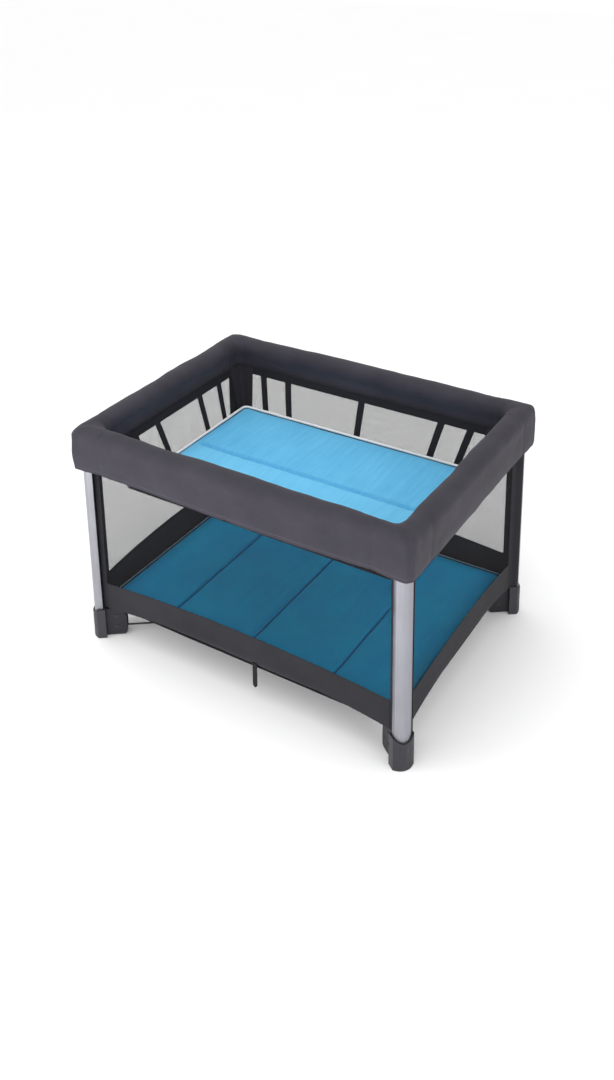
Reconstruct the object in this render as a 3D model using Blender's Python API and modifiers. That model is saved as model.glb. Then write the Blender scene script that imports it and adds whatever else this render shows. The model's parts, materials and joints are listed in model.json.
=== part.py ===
"""Folding playpen with a lift-out bassinet and a padded floor mattress.

Four upright legs stand on plastic feet. An arm and a thin parallel link run from each foot along the
floor diagonal to a central hub. Each side has a top rail in two halves, which hinge at the corner
brackets and at a joint in the middle of the side. Lifting the hub turns the arms, draws the legs
together and drops the middle of every rail. All these hinges turn by the same angle, because
corner inset + mid-joint inset equals, along X and along Y, the diagonal inset of the arm pivots.

Units are metres, +Z is up, +X runs along the long side and the front is at -Y. The origin is on the
floor, midway between the feet.
"""

import math

import bmesh
import bpy
from mathutils import Matrix, Vector

# Driving dimensions
LEG_X = 0.515  # leg axis from the centre, along X
LEG_Y = 0.3775  # leg axis from the centre, along Y
TOP_Z = 0.700  # top of the padded rail cover
SKIRT_Z = 0.580  # lower edge of the cover's outer skirt
POCKET_Z = 0.570  # lower edge of the cover at a leg
INNER_SKIRT_Z = 0.590  # lower edge of the cover's inner skirt
RAIL_Z = 0.665  # rail pivots and rail centre line
ARM_Z = 0.066  # arm pivots
LINK_Z = 0.030  # link pivots
HUB_REACH = 0.060  # arm pivot from the hub axis
FOOT_REACH = 0.050  # arm pivot inward from the leg axis
CORNER_X = 0.050  # rail pivot inward from the leg axis, on the long sides
CORNER_Y = 0.043  # the same on the short sides
FLOOR_Z = 0.104  # underside of the fabric floor
MATTRESS_Z = 0.1375  # top of the floor mattress
BASSINET_Z = 0.503  # top of the bassinet pad
GAP = 0.0003  # space left between touching pieces

# Worked out from the driving dimensions
DIAGONAL = math.hypot(LEG_X, LEG_Y)
MID_X = LEG_X / DIAGONAL * (HUB_REACH + FOOT_REACH) - CORNER_X
MID_Y = LEG_Y / DIAGONAL * (HUB_REACH + FOOT_REACH) - CORNER_Y

# Sections
TUBE_HALF_WIDTH = 0.025
TUBE_BACK = 0.014  # flat back of the leg tube behind its axis
TUBE_SHOULDER = 0.002
TUBE_BULGE = 0.012
TUBE_WALL = 0.0015
TUBE_BOTTOM_Z = 0.0125
TUBE_TOP_Z = 0.635
FOOT_WALL = 0.0055
FOOT_TOP_Z = 0.098
HOUSING_REACH = 0.082  # inner end of the foot's housing from the leg axis
HOUSING_TOP_Z = 0.092
HOUSING_BASE_Z = 0.0015
HOUSING_ROUND = 0.036
HOUSING_TOE = 0.012
RAIL_RADIUS = 0.010
ARM_RADIUS = 0.008
LINK_RADIUS = 0.003
ROD_WALL = 0.0012
PIN_RADIUS = 0.0035
PIN_HEAD_RADIUS = 0.006
PIN_HEAD = 0.0012
SCOOP_RADIUS = 0.034  # dip in the outer rim of the foot's cup
SCOOP_DEPTH = 0.015
BRACKET_HIGH = 0.0165  # bracket top above the rail pivots
BORE_RADIUS = 0.0038
ARM_SHIFT = -0.006  # arm lane beside the diagonal
LINK_SHIFT = 0.0105  # link lane beside the diagonal
SLOT_HALF = 0.0145
CHEEK = 0.003
RAIL_SLOT_HALF = 0.011
SLOT_BACK = 0.0135  # clear space behind a pivot
TAIL = 0.007  # rod length behind a pivot
COVER_OUT = 0.035  # cover faces from the rail's centre plane
COVER_IN = 0.030
COVER_SKIN = 0.008
CORNER_LENGTH = 0.075  # corner piece of the cover, inward from the leg axis
CORNER_RADIUS = 0.030
WALL_HALF = 0.0015
WALL_BOTTOM_Z = 0.100
WALL_TOP_Z = 0.600
ROUND_STEPS = 12

LEGS = {
    "front_left": (-1, -1),
    "front_right": (1, -1),
    "rear_left": (-1, 1),
    "rear_right": (1, 1),
}
FIXED_LEG = "rear_left"  # its arm and link turn about the foot, the others' about the hub
ALONG_X = "x"
ALONG_Y = "y"


def clear_scene():
    for obj in list(bpy.data.objects):
        bpy.data.objects.remove(obj, do_unlink=True)


def new_collection(name):
    collection = bpy.data.collections.new(name)
    bpy.context.scene.collection.children.link(collection)
    return collection


clear_scene()
PARTS = new_collection("playpen")
CUTTERS = new_collection("cutters")


def material(name, color, roughness, metallic=0.0):
    made = bpy.data.materials.new(name)
    made.use_nodes = True
    shader = made.node_tree.nodes["Principled BSDF"]
    shader.inputs["Base Color"].default_value = (*color, 1.0)
    shader.inputs["Roughness"].default_value = roughness
    shader.inputs["Metallic"].default_value = metallic
    return made


ALUMINIUM = ("aluminium", (0.42, 0.42, 0.46), 0.38, 1.0)
STEEL = ("black_steel", (0.03, 0.03, 0.035), 0.45, 0.6)
PLASTIC = ("dark_plastic", (0.045, 0.043, 0.052), 0.5, 0.0)
COVER_CLOTH = ("charcoal_cloth", (0.055, 0.052, 0.062), 0.85, 0.0)
NET = ("black_net", (0.03, 0.03, 0.035), 0.8, 0.0)
FLOOR_CLOTH = ("floor_cloth", (0.03, 0.03, 0.035), 0.9, 0.0)
MATTRESS_CLOTH = ("blue_mattress", (0.02, 0.21, 0.38), 0.85, 0.0)
PAD_CLOTH = ("sky_blue_pad", (0.09, 0.46, 0.78), 0.85, 0.0)
BOARD = ("hardboard", (0.18, 0.11, 0.06), 0.7, 0.0)
WEBBING = ("black_webbing", (0.015, 0.015, 0.018), 0.75, 0.0)


# ---------------------------------------------------------------- modelling helpers


def curve_mesh(name, curve, matrix):
    """Turns a curve into a welded mesh object placed by matrix."""
    shape = bpy.data.objects.new(name, curve)
    CUTTERS.objects.link(shape)
    bpy.context.view_layer.update()
    evaluated = shape.evaluated_get(bpy.context.evaluated_depsgraph_get())
    mesh = bpy.data.meshes.new_from_object(evaluated)
    bpy.data.objects.remove(shape, do_unlink=True)
    bpy.data.curves.remove(curve)
    welded = bmesh.new()
    welded.from_mesh(mesh)
    bmesh.ops.remove_doubles(welded, verts=welded.verts, dist=1e-6)
    bmesh.ops.recalc_face_normals(welded, faces=welded.faces)
    welded.to_mesh(mesh)
    welded.free()
    obj = bpy.data.objects.new(name, mesh)
    obj.matrix_world = matrix
    CUTTERS.objects.link(obj)
    return obj


def plate(outlines, low, high, matrix=None):
    """A flat outline, with any holes after it, extruded from low to high along its own Z."""
    curve = bpy.data.curves.new("outline", "CURVE")
    curve.dimensions = "2D"
    curve.fill_mode = "BOTH"
    curve.extrude = (high - low) / 2
    for outline in outlines:
        spline = curve.splines.new("POLY")
        spline.points.add(len(outline) - 1)
        for point, (x, y) in zip(spline.points, outline):
            point.co = (x, y, 0, 1)
        spline.use_cyclic_u = True
    lift = Matrix.Translation((0, 0, (low + high) / 2))
    return curve_mesh("plate", curve, (matrix or Matrix()) @ lift)


def box(low, high, matrix=None):
    """A cuboid between two corners, made from a primitive cube."""
    mesh = bpy.data.meshes.new("box")
    shape = bmesh.new()
    bmesh.ops.create_cube(shape, size=1.0)
    size = [b - a for a, b in zip(low, high)]
    middle = [(a + b) / 2 for a, b in zip(low, high)]
    bmesh.ops.scale(shape, vec=size, verts=shape.verts)
    bmesh.ops.translate(shape, vec=middle, verts=shape.verts)
    shape.to_mesh(mesh)
    shape.free()
    obj = bpy.data.objects.new("box", mesh)
    obj.matrix_world = matrix or Matrix()
    CUTTERS.objects.link(obj)
    return obj


def circle(radius, steps=ROUND_STEPS):
    turns = [2 * math.pi * (i + 0.5) / steps for i in range(steps)]
    return [(radius * math.cos(t), radius * math.sin(t)) for t in turns]


def ring(radius, wall, steps=ROUND_STEPS):
    return [circle(radius, steps), circle(radius - wall, steps)]


def arc(centre, radius, start_deg, end_deg, steps):
    angles = [math.radians(start_deg + (end_deg - start_deg) * i / steps) for i in range(steps + 1)]
    return [(centre[0] + radius * math.cos(a), centre[1] + radius * math.sin(a)) for a in angles]


def axis_frame(origin, along, up=(0, 0, 1)):
    """A frame whose Z runs along a direction and whose Y is as near to up as it can be."""
    z = Vector(along).normalized()
    x = Vector(up).cross(z).normalized()
    y = z.cross(x)
    rotation = Matrix((x, y, z)).transposed().to_4x4()
    return Matrix.Translation(origin) @ rotation


def rod(outlines, start, end, matrix=None):
    """A constant section swept straight from start to end."""
    length = (Vector(end) - Vector(start)).length
    frame = axis_frame(Vector(start), Vector(end) - Vector(start))
    return plate(outlines, 0, length, (matrix or Matrix()) @ frame)


def bore(centre, direction, length, radius=BORE_RADIUS, matrix=None):
    """A round cutter or boss centred on a point."""
    half = Vector(direction).normalized() * length / 2
    up = (0, 0, 1) if abs(Vector(direction).normalized().z) < 0.9 else (1, 0, 0)
    frame = axis_frame(Vector(centre) - half, half, up)
    return plate([circle(radius)], 0, length, (matrix or Matrix()) @ frame)


def combine(body, others, operation):
    """Joins others to body, or cuts them from it, and removes them."""
    for other in others:
        modifier = body.modifiers.new("combine", "BOOLEAN")
        modifier.operation = operation
        modifier.solver = "EXACT"
        modifier.object = other
        bpy.context.view_layer.update()
        evaluated = body.evaluated_get(bpy.context.evaluated_depsgraph_get())
        mesh = bpy.data.meshes.new_from_object(evaluated)
        body.modifiers.remove(modifier)
        body.data = mesh
        bpy.data.objects.remove(other, do_unlink=True)
    return body


def joined(body, *others):
    return combine(body, others, "UNION")


def cut(body, *others):
    return combine(body, others, "DIFFERENCE")


def node(name, solids, finish, parent):
    """Gathers solids into one named object whose origin is at its parent's."""
    base = parent.matrix_world.inverted()
    gathered = bmesh.new()
    for solid in solids:
        mesh = solid.data
        mesh.transform(base @ solid.matrix_world)
        gathered.from_mesh(mesh)
        bpy.data.objects.remove(solid, do_unlink=True)
    mesh = bpy.data.meshes.new(name)
    gathered.to_mesh(mesh)
    gathered.free()
    mesh.materials.clear()
    mesh.materials.append(bpy.data.materials.get(finish[0]) or material(*finish))
    mesh.shade_smooth()
    mesh.set_sharp_from_angle(angle=math.radians(40))
    obj = bpy.data.objects.new(name, mesh)
    obj.parent = parent
    PARTS.objects.link(obj)
    return obj


def pivot(name, position, parent=None):
    """An empty on a joint's axis, which carries the pieces that turn about it."""
    empty = bpy.data.objects.new(name, None)
    empty.empty_display_size = 0.02
    PARTS.objects.link(empty)
    empty.parent = parent
    world = Matrix.Translation(position)
    empty.matrix_world = world
    bpy.context.view_layer.update()
    return empty


# ---------------------------------------------------------------- legs and feet


def leg_frame(sx, sy):
    """The leg's own frame: X points outward along the floor diagonal, Z is up."""
    turn = math.atan2(sy * LEG_Y, sx * LEG_X)
    return Matrix.Translation((sx * LEG_X, sy * LEG_Y, 0)) @ Matrix.Rotation(turn, 4, "Z")


def tube_outline(grow):
    """The leg's section: a flat back, short sides and an arched outer face, grown outward."""
    half = TUBE_HALF_WIDTH
    radius = (half**2 + TUBE_BULGE**2) / (2 * TUBE_BULGE)
    centre = TUBE_SHOULDER + TUBE_BULGE - radius
    reach = math.degrees(math.asin(half / radius))
    front = arc((centre, 0), radius + grow, -reach, reach, 8)
    front = [(x, max(-half - grow, min(half + grow, y))) for x, y in front]
    back = -TUBE_BACK - grow
    return [(back, -half - grow), (front[0][0], -half - grow)] + front[1:-1] + [
        (front[-1][0], half + grow),
        (back, half + grow),
    ]


def leg_tube(frame):
    return plate([tube_outline(0), tube_outline(-TUBE_WALL)], TUBE_BOTTOM_Z, TUBE_TOP_Z, frame)


SIDE_ON = Matrix(((1, 0, 0, 0), (0, 0, -1, 0), (0, 1, 0, 0), (0, 0, 0, 1)))  # stands an outline upright


def housing_outline():
    """Side view of the foot's inner housing: flat top, rounded down towards its inner end."""
    inner, low, high = -HOUSING_REACH, HOUSING_BASE_Z, HOUSING_TOP_Z
    top = arc((inner + HOUSING_ROUND, high - HOUSING_ROUND), HOUSING_ROUND, 90, 180, 5)
    toe = arc((inner + HOUSING_TOE, low + HOUSING_TOE), HOUSING_TOE, 180, 270, 3)
    return [(-TUBE_BACK, high)] + top + toe + [(-TUBE_BACK, low)]


def foot(frame):
    """A D-shaped cup for the leg tube, with a slotted housing and pins for the arm and the link."""
    cup = plate([tube_outline(FOOT_WALL)], 0, FOOT_TOP_Z, frame)
    width = SLOT_HALF + CHEEK
    housing = plate([housing_outline()], -width, width, frame @ SIDE_ON)
    pivots = [(-FOOT_REACH, 0, z) for z in (ARM_Z, LINK_Z)]
    heads = [bore(at, (0, 1, 0), 2 * (width + PIN_HEAD), PIN_HEAD_RADIUS, frame) for at in pivots]
    body = joined(cup, housing, *heads)
    pocket = plate([tube_outline(GAP)], TUBE_BOTTOM_Z - GAP, FOOT_TOP_Z + 0.01, frame)
    above = Matrix.Translation((0, 0, FOOT_TOP_Z - SCOOP_DEPTH + SCOOP_RADIUS))
    outward = frame @ above @ Matrix.Rotation(math.pi / 2, 4, "Y")
    scoop = plate([circle(SCOOP_RADIUS, 32)], 0, SCOOP_RADIUS, outward)
    inner_wall = -(FOOT_REACH - SLOT_BACK)
    slot = box((-0.1, -SLOT_HALF, 0.014), (inner_wall, SLOT_HALF, 0.1), frame)
    pins = [bore(at, (0, 1, 0), 2 * SLOT_HALF + CHEEK, PIN_RADIUS, frame) for at in pivots]
    return joined(cut(body, pocket, scoop, slot), *pins)


def corner_bracket(sx, sy, frame):
    """The plastic head on a leg, with a clevis and a pin for the rail of each side."""
    head = plate([tube_outline(0.0015)], TUBE_TOP_Z + GAP, RAIL_Z + BRACKET_HIGH - 0.001, frame)
    here = Matrix.Translation((sx * LEG_X, sy * LEG_Y, RAIL_Z))
    half = RAIL_SLOT_HALF + CHEEK
    body, slots, pins = head, [], []
    for direction, inset in ((ALONG_X, CORNER_X), (ALONG_Y, CORNER_Y)):
        turn = here @ inward_turn(direction, sx, sy)
        low = -SLOT_BACK - (0.0005 if direction == ALONG_X else 0)
        ear = box((0.010, -half, low), (inset + 0.012, half, BRACKET_HIGH), turn)
        width = 2 * (half + PIN_HEAD)
        body = joined(body, ear, bore((inset, 0, 0), (0, 1, 0), width, PIN_HEAD_RADIUS, turn))
        corner_low, corner_high = (inset - SLOT_BACK, -RAIL_SLOT_HALF, -0.05), (0.1, RAIL_SLOT_HALF, SLOT_BACK)
        slots.append(box(corner_low, corner_high, turn))
        pins.append(bore((inset, 0, 0), (0, 1, 0), 2 * RAIL_SLOT_HALF + CHEEK, PIN_RADIUS, turn))
    return joined(cut(body, *slots), *pins)


def inward_turn(direction, sx, sy):
    """Turns X from a corner towards the middle of one of its sides."""
    if direction == ALONG_X:
        return Matrix.Rotation(0 if sx < 0 else math.pi, 4, "Z")
    return Matrix.Rotation(math.pi / 2 if sy < 0 else -math.pi / 2, 4, "Z")


def sorted_corners(first, second):
    low = tuple(min(a, b) for a, b in zip(first, second))
    high = tuple(max(a, b) for a, b in zip(first, second))
    return low, high


# ---------------------------------------------------------------- arms, links and hub


def inward_points(shift, z):
    """Foot and hub pivots of a lane, in the leg's own frame."""
    foot_end = Vector((-FOOT_REACH, shift, z))
    hub_end = Vector((HUB_REACH - DIAGONAL, shift, z))
    return foot_end, hub_end


def arm(frame):
    """A steel tube from the foot to the hub, cross-drilled at both pivots."""
    foot_end, hub_end = inward_points(ARM_SHIFT, ARM_Z)
    tail = Vector((TAIL, 0, 0))
    tube = rod(ring(ARM_RADIUS, ROD_WALL), foot_end + tail, hub_end - tail, frame)
    holes = [bore(end, (0, 1, 0), 0.04, matrix=frame) for end in (foot_end, hub_end)]
    return cut(tube, *holes)


def link(frame):
    """A thin rod with a round eye at each end, parallel to the arm."""
    foot_end, hub_end = inward_points(LINK_SHIFT, LINK_Z)
    inset = Vector((-0.005, 0, 0))
    body = rod([circle(LINK_RADIUS, 8)], foot_end + inset, hub_end - inset, frame)
    eyes = [bore(end, (0, 1, 0), 2 * LINK_RADIUS + 0.0002, 0.0075, frame) for end in (foot_end, hub_end)]
    holes = [bore(end, (0, 1, 0), 0.03, matrix=frame) for end in (foot_end, hub_end)]
    return cut(joined(body, *eyes), *holes)


HUB_RADIUS = 0.074
HUB_LOW, HUB_HIGH = 0.012, 0.094
WEB = (0.0025, 0.0065)  # wall between the arm lane and the link lane
CAP_RADIUS, CAP_OPENING = 0.072, 0.034


def hub_body():
    """A round block, slotted from below for each arm and its link, with their pins."""
    body = plate([circle(HUB_RADIUS, 40)], HUB_LOW, HUB_HIGH)
    back = HUB_REACH - SLOT_BACK
    web = (WEB[0] + WEB[1]) / 2
    outside = SLOT_HALF + 0.002
    slots, pins = [], []
    for sx, sy in LEGS.values():
        turn = Matrix.Rotation(math.atan2(sy * LEG_Y, sx * LEG_X), 4, "Z")
        slots.append(box((back, -SLOT_HALF, -0.01), (0.1, WEB[0], ARM_Z + SLOT_BACK), turn))
        slots.append(box((back, WEB[1], -0.01), (0.1, SLOT_HALF, LINK_Z + 0.0105), turn))
        arm_pin, link_pin = (-outside, web), (web, outside)
        for (low, high), z in ((arm_pin, ARM_Z), (link_pin, LINK_Z)):
            middle = (HUB_REACH, (low + high) / 2, z)
            pins.append(bore(middle, (0, 1, 0), high - low, PIN_RADIUS, turn))
    return joined(cut(body, *slots), *pins)


def hub_cap():
    """A flanged ring that closes the hub's top and frames the lifting handle."""
    return plate([circle(CAP_RADIUS, 40), circle(CAP_OPENING, 24)], HUB_HIGH + GAP, FLOOR_Z - GAP)


def hub_handle():
    """A low bar across the hub's well, standing on two feet."""
    bar = box((-0.030, -0.008, 0.0985), (0.030, 0.008, 0.1035))
    feet = [
        box((x - 0.004, -0.006, HUB_HIGH + GAP), (x + 0.004, 0.006, 0.100)) for x in (-0.024, 0.024)
    ]
    return joined(bar, *feet)


# ---------------------------------------------------------------- top rails


def side_frame(direction, sx, sy):
    """Frame of a half rail at its corner pivot: X runs towards the middle of the side."""
    inset_x, inset_y = (CORNER_X, 0) if direction == ALONG_X else (0, CORNER_Y)
    place = Matrix.Translation((sx * (LEG_X - inset_x), sy * (LEG_Y - inset_y), RAIL_Z))
    return place @ inward_turn(direction, sx, sy)


def side_lengths(direction):
    """Distance between a half rail's pivots, and from its mid pivot to the middle of the side."""
    if direction == ALONG_X:
        return LEG_X - CORNER_X - MID_X, MID_X
    return LEG_Y - CORNER_Y - MID_Y, MID_Y


def half_rail(direction, frame):
    length, _ = side_lengths(direction)
    tube = rod(ring(RAIL_RADIUS, ROD_WALL), (-TAIL, 0, 0), (length + TAIL, 0, 0), frame)
    holes = [bore((x, 0, 0), (0, 1, 0), 0.04, matrix=frame) for x in (0, length)]
    return cut(tube, *holes)


def mid_joint(direction, frame):
    """The middle joint of a side: a channel open at the top, with a cross pin for each rail end."""
    length, inset = side_lengths(direction)
    here = frame @ Matrix.Translation((length + inset, 0, 0))
    half = RAIL_SLOT_HALF + CHEEK
    reach = inset + 0.012
    body = box((-reach, -half, -SLOT_BACK - CHEEK), (reach, half, 0.0115), here)
    pivots = [(x, 0, 0) for x in (-inset, inset)]
    heads = [bore(at, (0, 1, 0), 2 * (half + PIN_HEAD), PIN_HEAD_RADIUS, here) for at in pivots]
    channel = box((-0.1, -RAIL_SLOT_HALF, -SLOT_BACK), (0.1, RAIL_SLOT_HALF, 0.05), here)
    pins = [bore(at, (0, 1, 0), 2 * RAIL_SLOT_HALF + CHEEK, PIN_RADIUS, here) for at in pivots]
    return joined(cut(joined(body, *heads), channel), *pins)


# ---------------------------------------------------------------- fabric, as plain solids


def cover_section():
    """The padded cover's section: outer skirt, top and inner skirt, open below."""
    out, inner, skin = COVER_OUT, -COVER_IN, COVER_SKIN
    top = TOP_Z - RAIL_Z
    low_out = SKIRT_Z - RAIL_Z
    low_in = INNER_SKIRT_Z - RAIL_Z
    return [
        (out, low_out), (out, top - 0.012), (out - 0.004, top - 0.004), (out - 0.012, top),
        (inner + 0.012, top), (inner + 0.004, top - 0.004), (inner, top - 0.012),
        (inner, low_in), (inner + skin, low_in),
        (inner + skin, top - skin), (out - skin, top - skin), (out - skin, low_out),
    ]


def half_cover(direction, sx, sy):
    """The padded cover over one half rail."""
    corner = LEG_X if direction == ALONG_X else LEG_Y
    length = corner - CORNER_LENGTH - 2 * GAP
    if direction == ALONG_X:
        start, along, outward = (sx * (length + GAP), sy * LEG_Y, RAIL_Z), (-sx, 0, 0), sy
    else:
        start, along, outward = (sx * LEG_X, sy * (length + GAP), RAIL_Z), (0, -sy, 0), sx
    frame = axis_frame(Vector(start), along)
    flip = frame.to_3x3().col[0]
    sign = 1 if (flip.y if direction == ALONG_X else flip.x) * outward > 0 else -1
    outline = [(sign * w, z) for w, z in cover_section()]
    return plate([outline], 0, length, frame)


def corner_outline(out_face, in_face, radius):
    """An L in plan around a leg: the outer side is rounded at the corner, the inner side is square."""
    end = -CORNER_LENGTH
    outer = [(end, out_face)] + arc((out_face - radius, out_face - radius), radius, 90, 0, 6)
    return outer + [(out_face, end), (in_face, end), (in_face, in_face), (end, in_face)]


def corner_cover(sx, sy):
    """The cover around a leg's head: its outer skirt hangs lower as a pocket for the leg."""
    here = Matrix.Translation((sx * LEG_X, sy * LEG_Y, 0))

    def placed(outline):
        return [(sx * a, sy * b) for a, b in outline]

    out, skin, radius, end = COVER_OUT, COVER_SKIN, CORNER_RADIUS, -CORNER_LENGTH
    outside = [(end, out)] + arc((out - radius, out - radius), radius, 90, 0, 6) + [(out, end)]
    thin = out - skin
    inside = [(thin, end)] + arc((out - radius, out - radius), radius - skin, 0, 90, 6) + [(end, thin)]
    outer = plate([placed(outside + inside)], POCKET_Z, TOP_Z - 0.004, here)
    inner_low, inner_high = -COVER_IN, -COVER_IN + skin
    inner_l = [
        (end, inner_high), (inner_high, inner_high), (inner_high, end),
        (inner_low, end), (inner_low, inner_low), (end, inner_low),
    ]
    inner = plate([placed(inner_l)], INNER_SKIRT_Z, TOP_Z - 0.004, here)
    top_face = corner_outline(out - 0.0002, -COVER_IN + 0.0002, radius)
    top = plate([placed(top_face)], TOP_Z - skin, TOP_Z, here)
    return joined(top, outer, inner)


WALL_START_X, WALL_START_Y = 0.0225, 0.0300  # where the walls meet the sleeve, from the leg axis


def wall_panels(sx, sy):
    """Net walls from a leg to the middle of its two sides."""
    wall_x = sorted_corners(
        (sx * GAP, sy * LEG_Y - WALL_HALF, WALL_BOTTOM_Z),
        (sx * (LEG_X - WALL_START_X), sy * LEG_Y + WALL_HALF, WALL_TOP_Z))
    wall_y = sorted_corners(
        (sx * LEG_X - WALL_HALF, sy * GAP, WALL_BOTTOM_Z),
        (sx * LEG_X + WALL_HALF, sy * (LEG_Y - WALL_START_Y), WALL_TOP_Z))
    return [box(*wall_x), box(*wall_y)]


SLEEVE_BACK, SLEEVE_FRONT = -0.0178, -0.0158  # faces of the sleeve, inward from the leg axis
SLEEVE_LONG_SIDE, SLEEVE_SHORT_SIDE = 0.0245, 0.0150  # how far it reaches towards each wall


def sleeve_panel(sx, sy, frame):
    """A strip of cloth across the flat back of a leg, which joins its two walls."""
    handed = 1 if sx * sy > 0 else -1
    ends = sorted((-handed * SLEEVE_LONG_SIDE, handed * SLEEVE_SHORT_SIDE))
    low, high = WALL_BOTTOM_Z + 0.001, WALL_TOP_Z - 0.001
    return box((SLEEVE_BACK, ends[0], low), (SLEEVE_FRONT, ends[1], high), frame)


def pocket_closure(sx, sy, frame):
    """The cloth that closes the cover around the leg, below the rail."""
    outline = corner_outline(COVER_OUT - 0.001, 0.001 - COVER_IN, CORNER_RADIUS - 0.001)
    here = Matrix.Translation((sx * LEG_X, sy * LEG_Y, 0))
    sheet = plate([[(sx * a, sy * b) for a, b in outline]], INNER_SKIRT_Z + 0.004, WALL_TOP_Z - 0.002, here)
    return cut(sheet, plate([tube_outline(0.0006)], 0.5, 0.7, frame))


def corner_fabric(sx, sy, frame):
    """The sewn skin of one corner: pocket over the leg's head, sleeve and the halves of two walls."""
    parts = [pocket_closure(sx, sy, frame), sleeve_panel(sx, sy, frame), *wall_panels(sx, sy)]
    return joined(corner_cover(sx, sy), *parts)


def chamfered(x, y, cut_x, cut_y):
    """A rectangle in plan with its four corners cut off."""
    return [
        (x, -y + cut_y), (x, y - cut_y), (x - cut_x, y), (-x + cut_x, y),
        (-x, y - cut_y), (-x, -y + cut_y), (-x + cut_x, -y), (x - cut_x, -y),
    ]


FLOOR_HALF = (0.505, 0.3675)
FLOOR_CORNER_CUT = (0.045, 0.0375)
FLOOR_SKIN = 0.0025
HANDLE_HOLE = 0.036  # radius of the hole over the hub's handle


def floor_fabric():
    """The cloth floor, cut off at the legs and open over the hub's handle."""
    outline = chamfered(*FLOOR_HALF, *FLOOR_CORNER_CUT)
    return plate([outline, circle(HANDLE_HOLE, 24)], FLOOR_Z, FLOOR_Z + FLOOR_SKIN)


MATTRESS_X, MATTRESS_Y = 0.490, 0.350
MATTRESS_SEAMS = (-MATTRESS_X, -0.270, 0.0, 0.270, MATTRESS_X)  # ends and folds along its length
SEAM_WIDTH, SEAM_DEPTH = 0.004, 0.010
BOARD_LOW, BOARD_HIGH = 0.1070, 0.1100
BOARD_EDGE = 0.006


def mattress_pad():
    """Four padded panels in one sewn cover, creased where it folds."""
    low, high = BOARD_HIGH + GAP, MATTRESS_Z
    outline = [(-MATTRESS_X, low), (MATTRESS_X, low), (MATTRESS_X, high)]
    for seam in reversed(MATTRESS_SEAMS[1:-1]):
        outline += [(seam + SEAM_WIDTH / 2, high), (seam, high - SEAM_DEPTH), (seam - SEAM_WIDTH / 2, high)]
    outline.append((-MATTRESS_X, high))
    return plate([outline], -MATTRESS_Y, MATTRESS_Y, SIDE_ON)


def mattress_board(index):
    """The stiff board under one panel of the mattress."""
    left, right = MATTRESS_SEAMS[index], MATTRESS_SEAMS[index + 1]
    side = MATTRESS_Y - 2 * BOARD_EDGE
    return box((left + BOARD_EDGE, -side, BOARD_LOW), (right - BOARD_EDGE, side, BOARD_HIGH))


TUB_TOP = (0.4820, 0.3445)  # rim, half lengths
TUB_BOTTOM = (0.4360, 0.3005)
TUB_LOW, TUB_HIGH = 0.4840, 0.6180
TUB_SKIN = 0.0015


def bassinet_tub():
    """Sloping net walls and a cloth base: an open surface given a thickness."""
    mesh = bpy.data.meshes.new("tub")
    shape = bmesh.new()
    bmesh.ops.create_cube(shape, size=2.0)
    for vert in shape.verts:
        reach = TUB_TOP if vert.co.z > 0 else TUB_BOTTOM
        height = TUB_HIGH if vert.co.z > 0 else TUB_LOW
        vert.co = (vert.co.x * reach[0], vert.co.y * reach[1], height)
    top = [face for face in shape.faces if face.normal.z > 0.9]
    bmesh.ops.delete(shape, geom=top, context="FACES_ONLY")
    shape.to_mesh(mesh)
    shape.free()
    obj = bpy.data.objects.new("tub", mesh)
    CUTTERS.objects.link(obj)
    skin = obj.modifiers.new("skin", "SOLIDIFY")
    skin.thickness = TUB_SKIN
    skin.offset = -1
    skin.use_even_offset = True
    bpy.context.view_layer.update()
    evaluated = obj.evaluated_get(bpy.context.evaluated_depsgraph_get())
    obj.data = bpy.data.meshes.new_from_object(evaluated)
    obj.modifiers.clear()
    return obj


PAD_X, PAD_Y = 0.4280, 0.2930


def bassinet_pad():
    """A padded base board that folds along the middle of its long side."""
    low, high = TUB_LOW + TUB_SKIN + GAP, BASSINET_Z
    outline = [(-PAD_Y, low), (PAD_Y, low), (PAD_Y, high), (SEAM_WIDTH / 2, high),
               (0, high - SEAM_DEPTH), (-SEAM_WIDTH / 2, high), (-PAD_Y, high)]
    sideways = Matrix(((0, 0, 1, 0), (1, 0, 0, 0), (0, 1, 0, 0), (0, 0, 0, 1)))
    return plate([outline], -PAD_X, PAD_X, sideways)


BAR_Y = 0.150
BAR_HALF = 0.429
BAR_RADIUS = 0.006


def bassinet_bar(y):
    """A steel bar in its sleeve under the bassinet's base."""
    z = TUB_LOW - GAP - BAR_RADIUS
    return rod(ring(BAR_RADIUS, ROD_WALL), (-BAR_HALF, y, z), (BAR_HALF, y, z))


STRAPS_LONG = (-0.38, -0.28, 0.0, 0.28, 0.38)  # strap places along each long wall
STRAPS_SHORT = (-0.215, -0.110, 0.110, 0.215)  # and along each short wall
STRAP_HALF = 0.0105
STRAP_SKIN = 0.0012
STRAP_LOW_Z = BASSINET_Z + 0.003
TAPE_LOW_Z = 0.6080  # lower edge of the tape around the rim
RIM_END_GAP = 0.0058  # from the tape's ends to the rim's corners


def tub_face(z, top, bottom):
    """How far out the inner face of a sloping wall stands at a height, with a gap for the webbing."""
    slope = (top - bottom) / (TUB_HIGH - TUB_LOW)
    return bottom + slope * (z - TUB_LOW) - TUB_SKIN * math.hypot(1, slope) - GAP


def sloping_strip(low_z, high_z, half_width, position, reach, turn, skin=STRAP_SKIN):
    """A flat strip of webbing against the inside of a sloping wall. A thicker one stands off both ways."""
    proud = (skin - STRAP_SKIN) / 2
    low, high = tub_face(low_z, *reach) + proud, tub_face(high_z, *reach) + proud
    outline = [(low, low_z), (high, high_z), (high - skin, high_z), (low - skin, low_z)]
    frame = Matrix.Rotation(turn, 4, "Z") @ Matrix.Translation((0, position, 0)) @ SIDE_ON
    return plate([outline], -half_width, half_width, frame)


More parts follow.
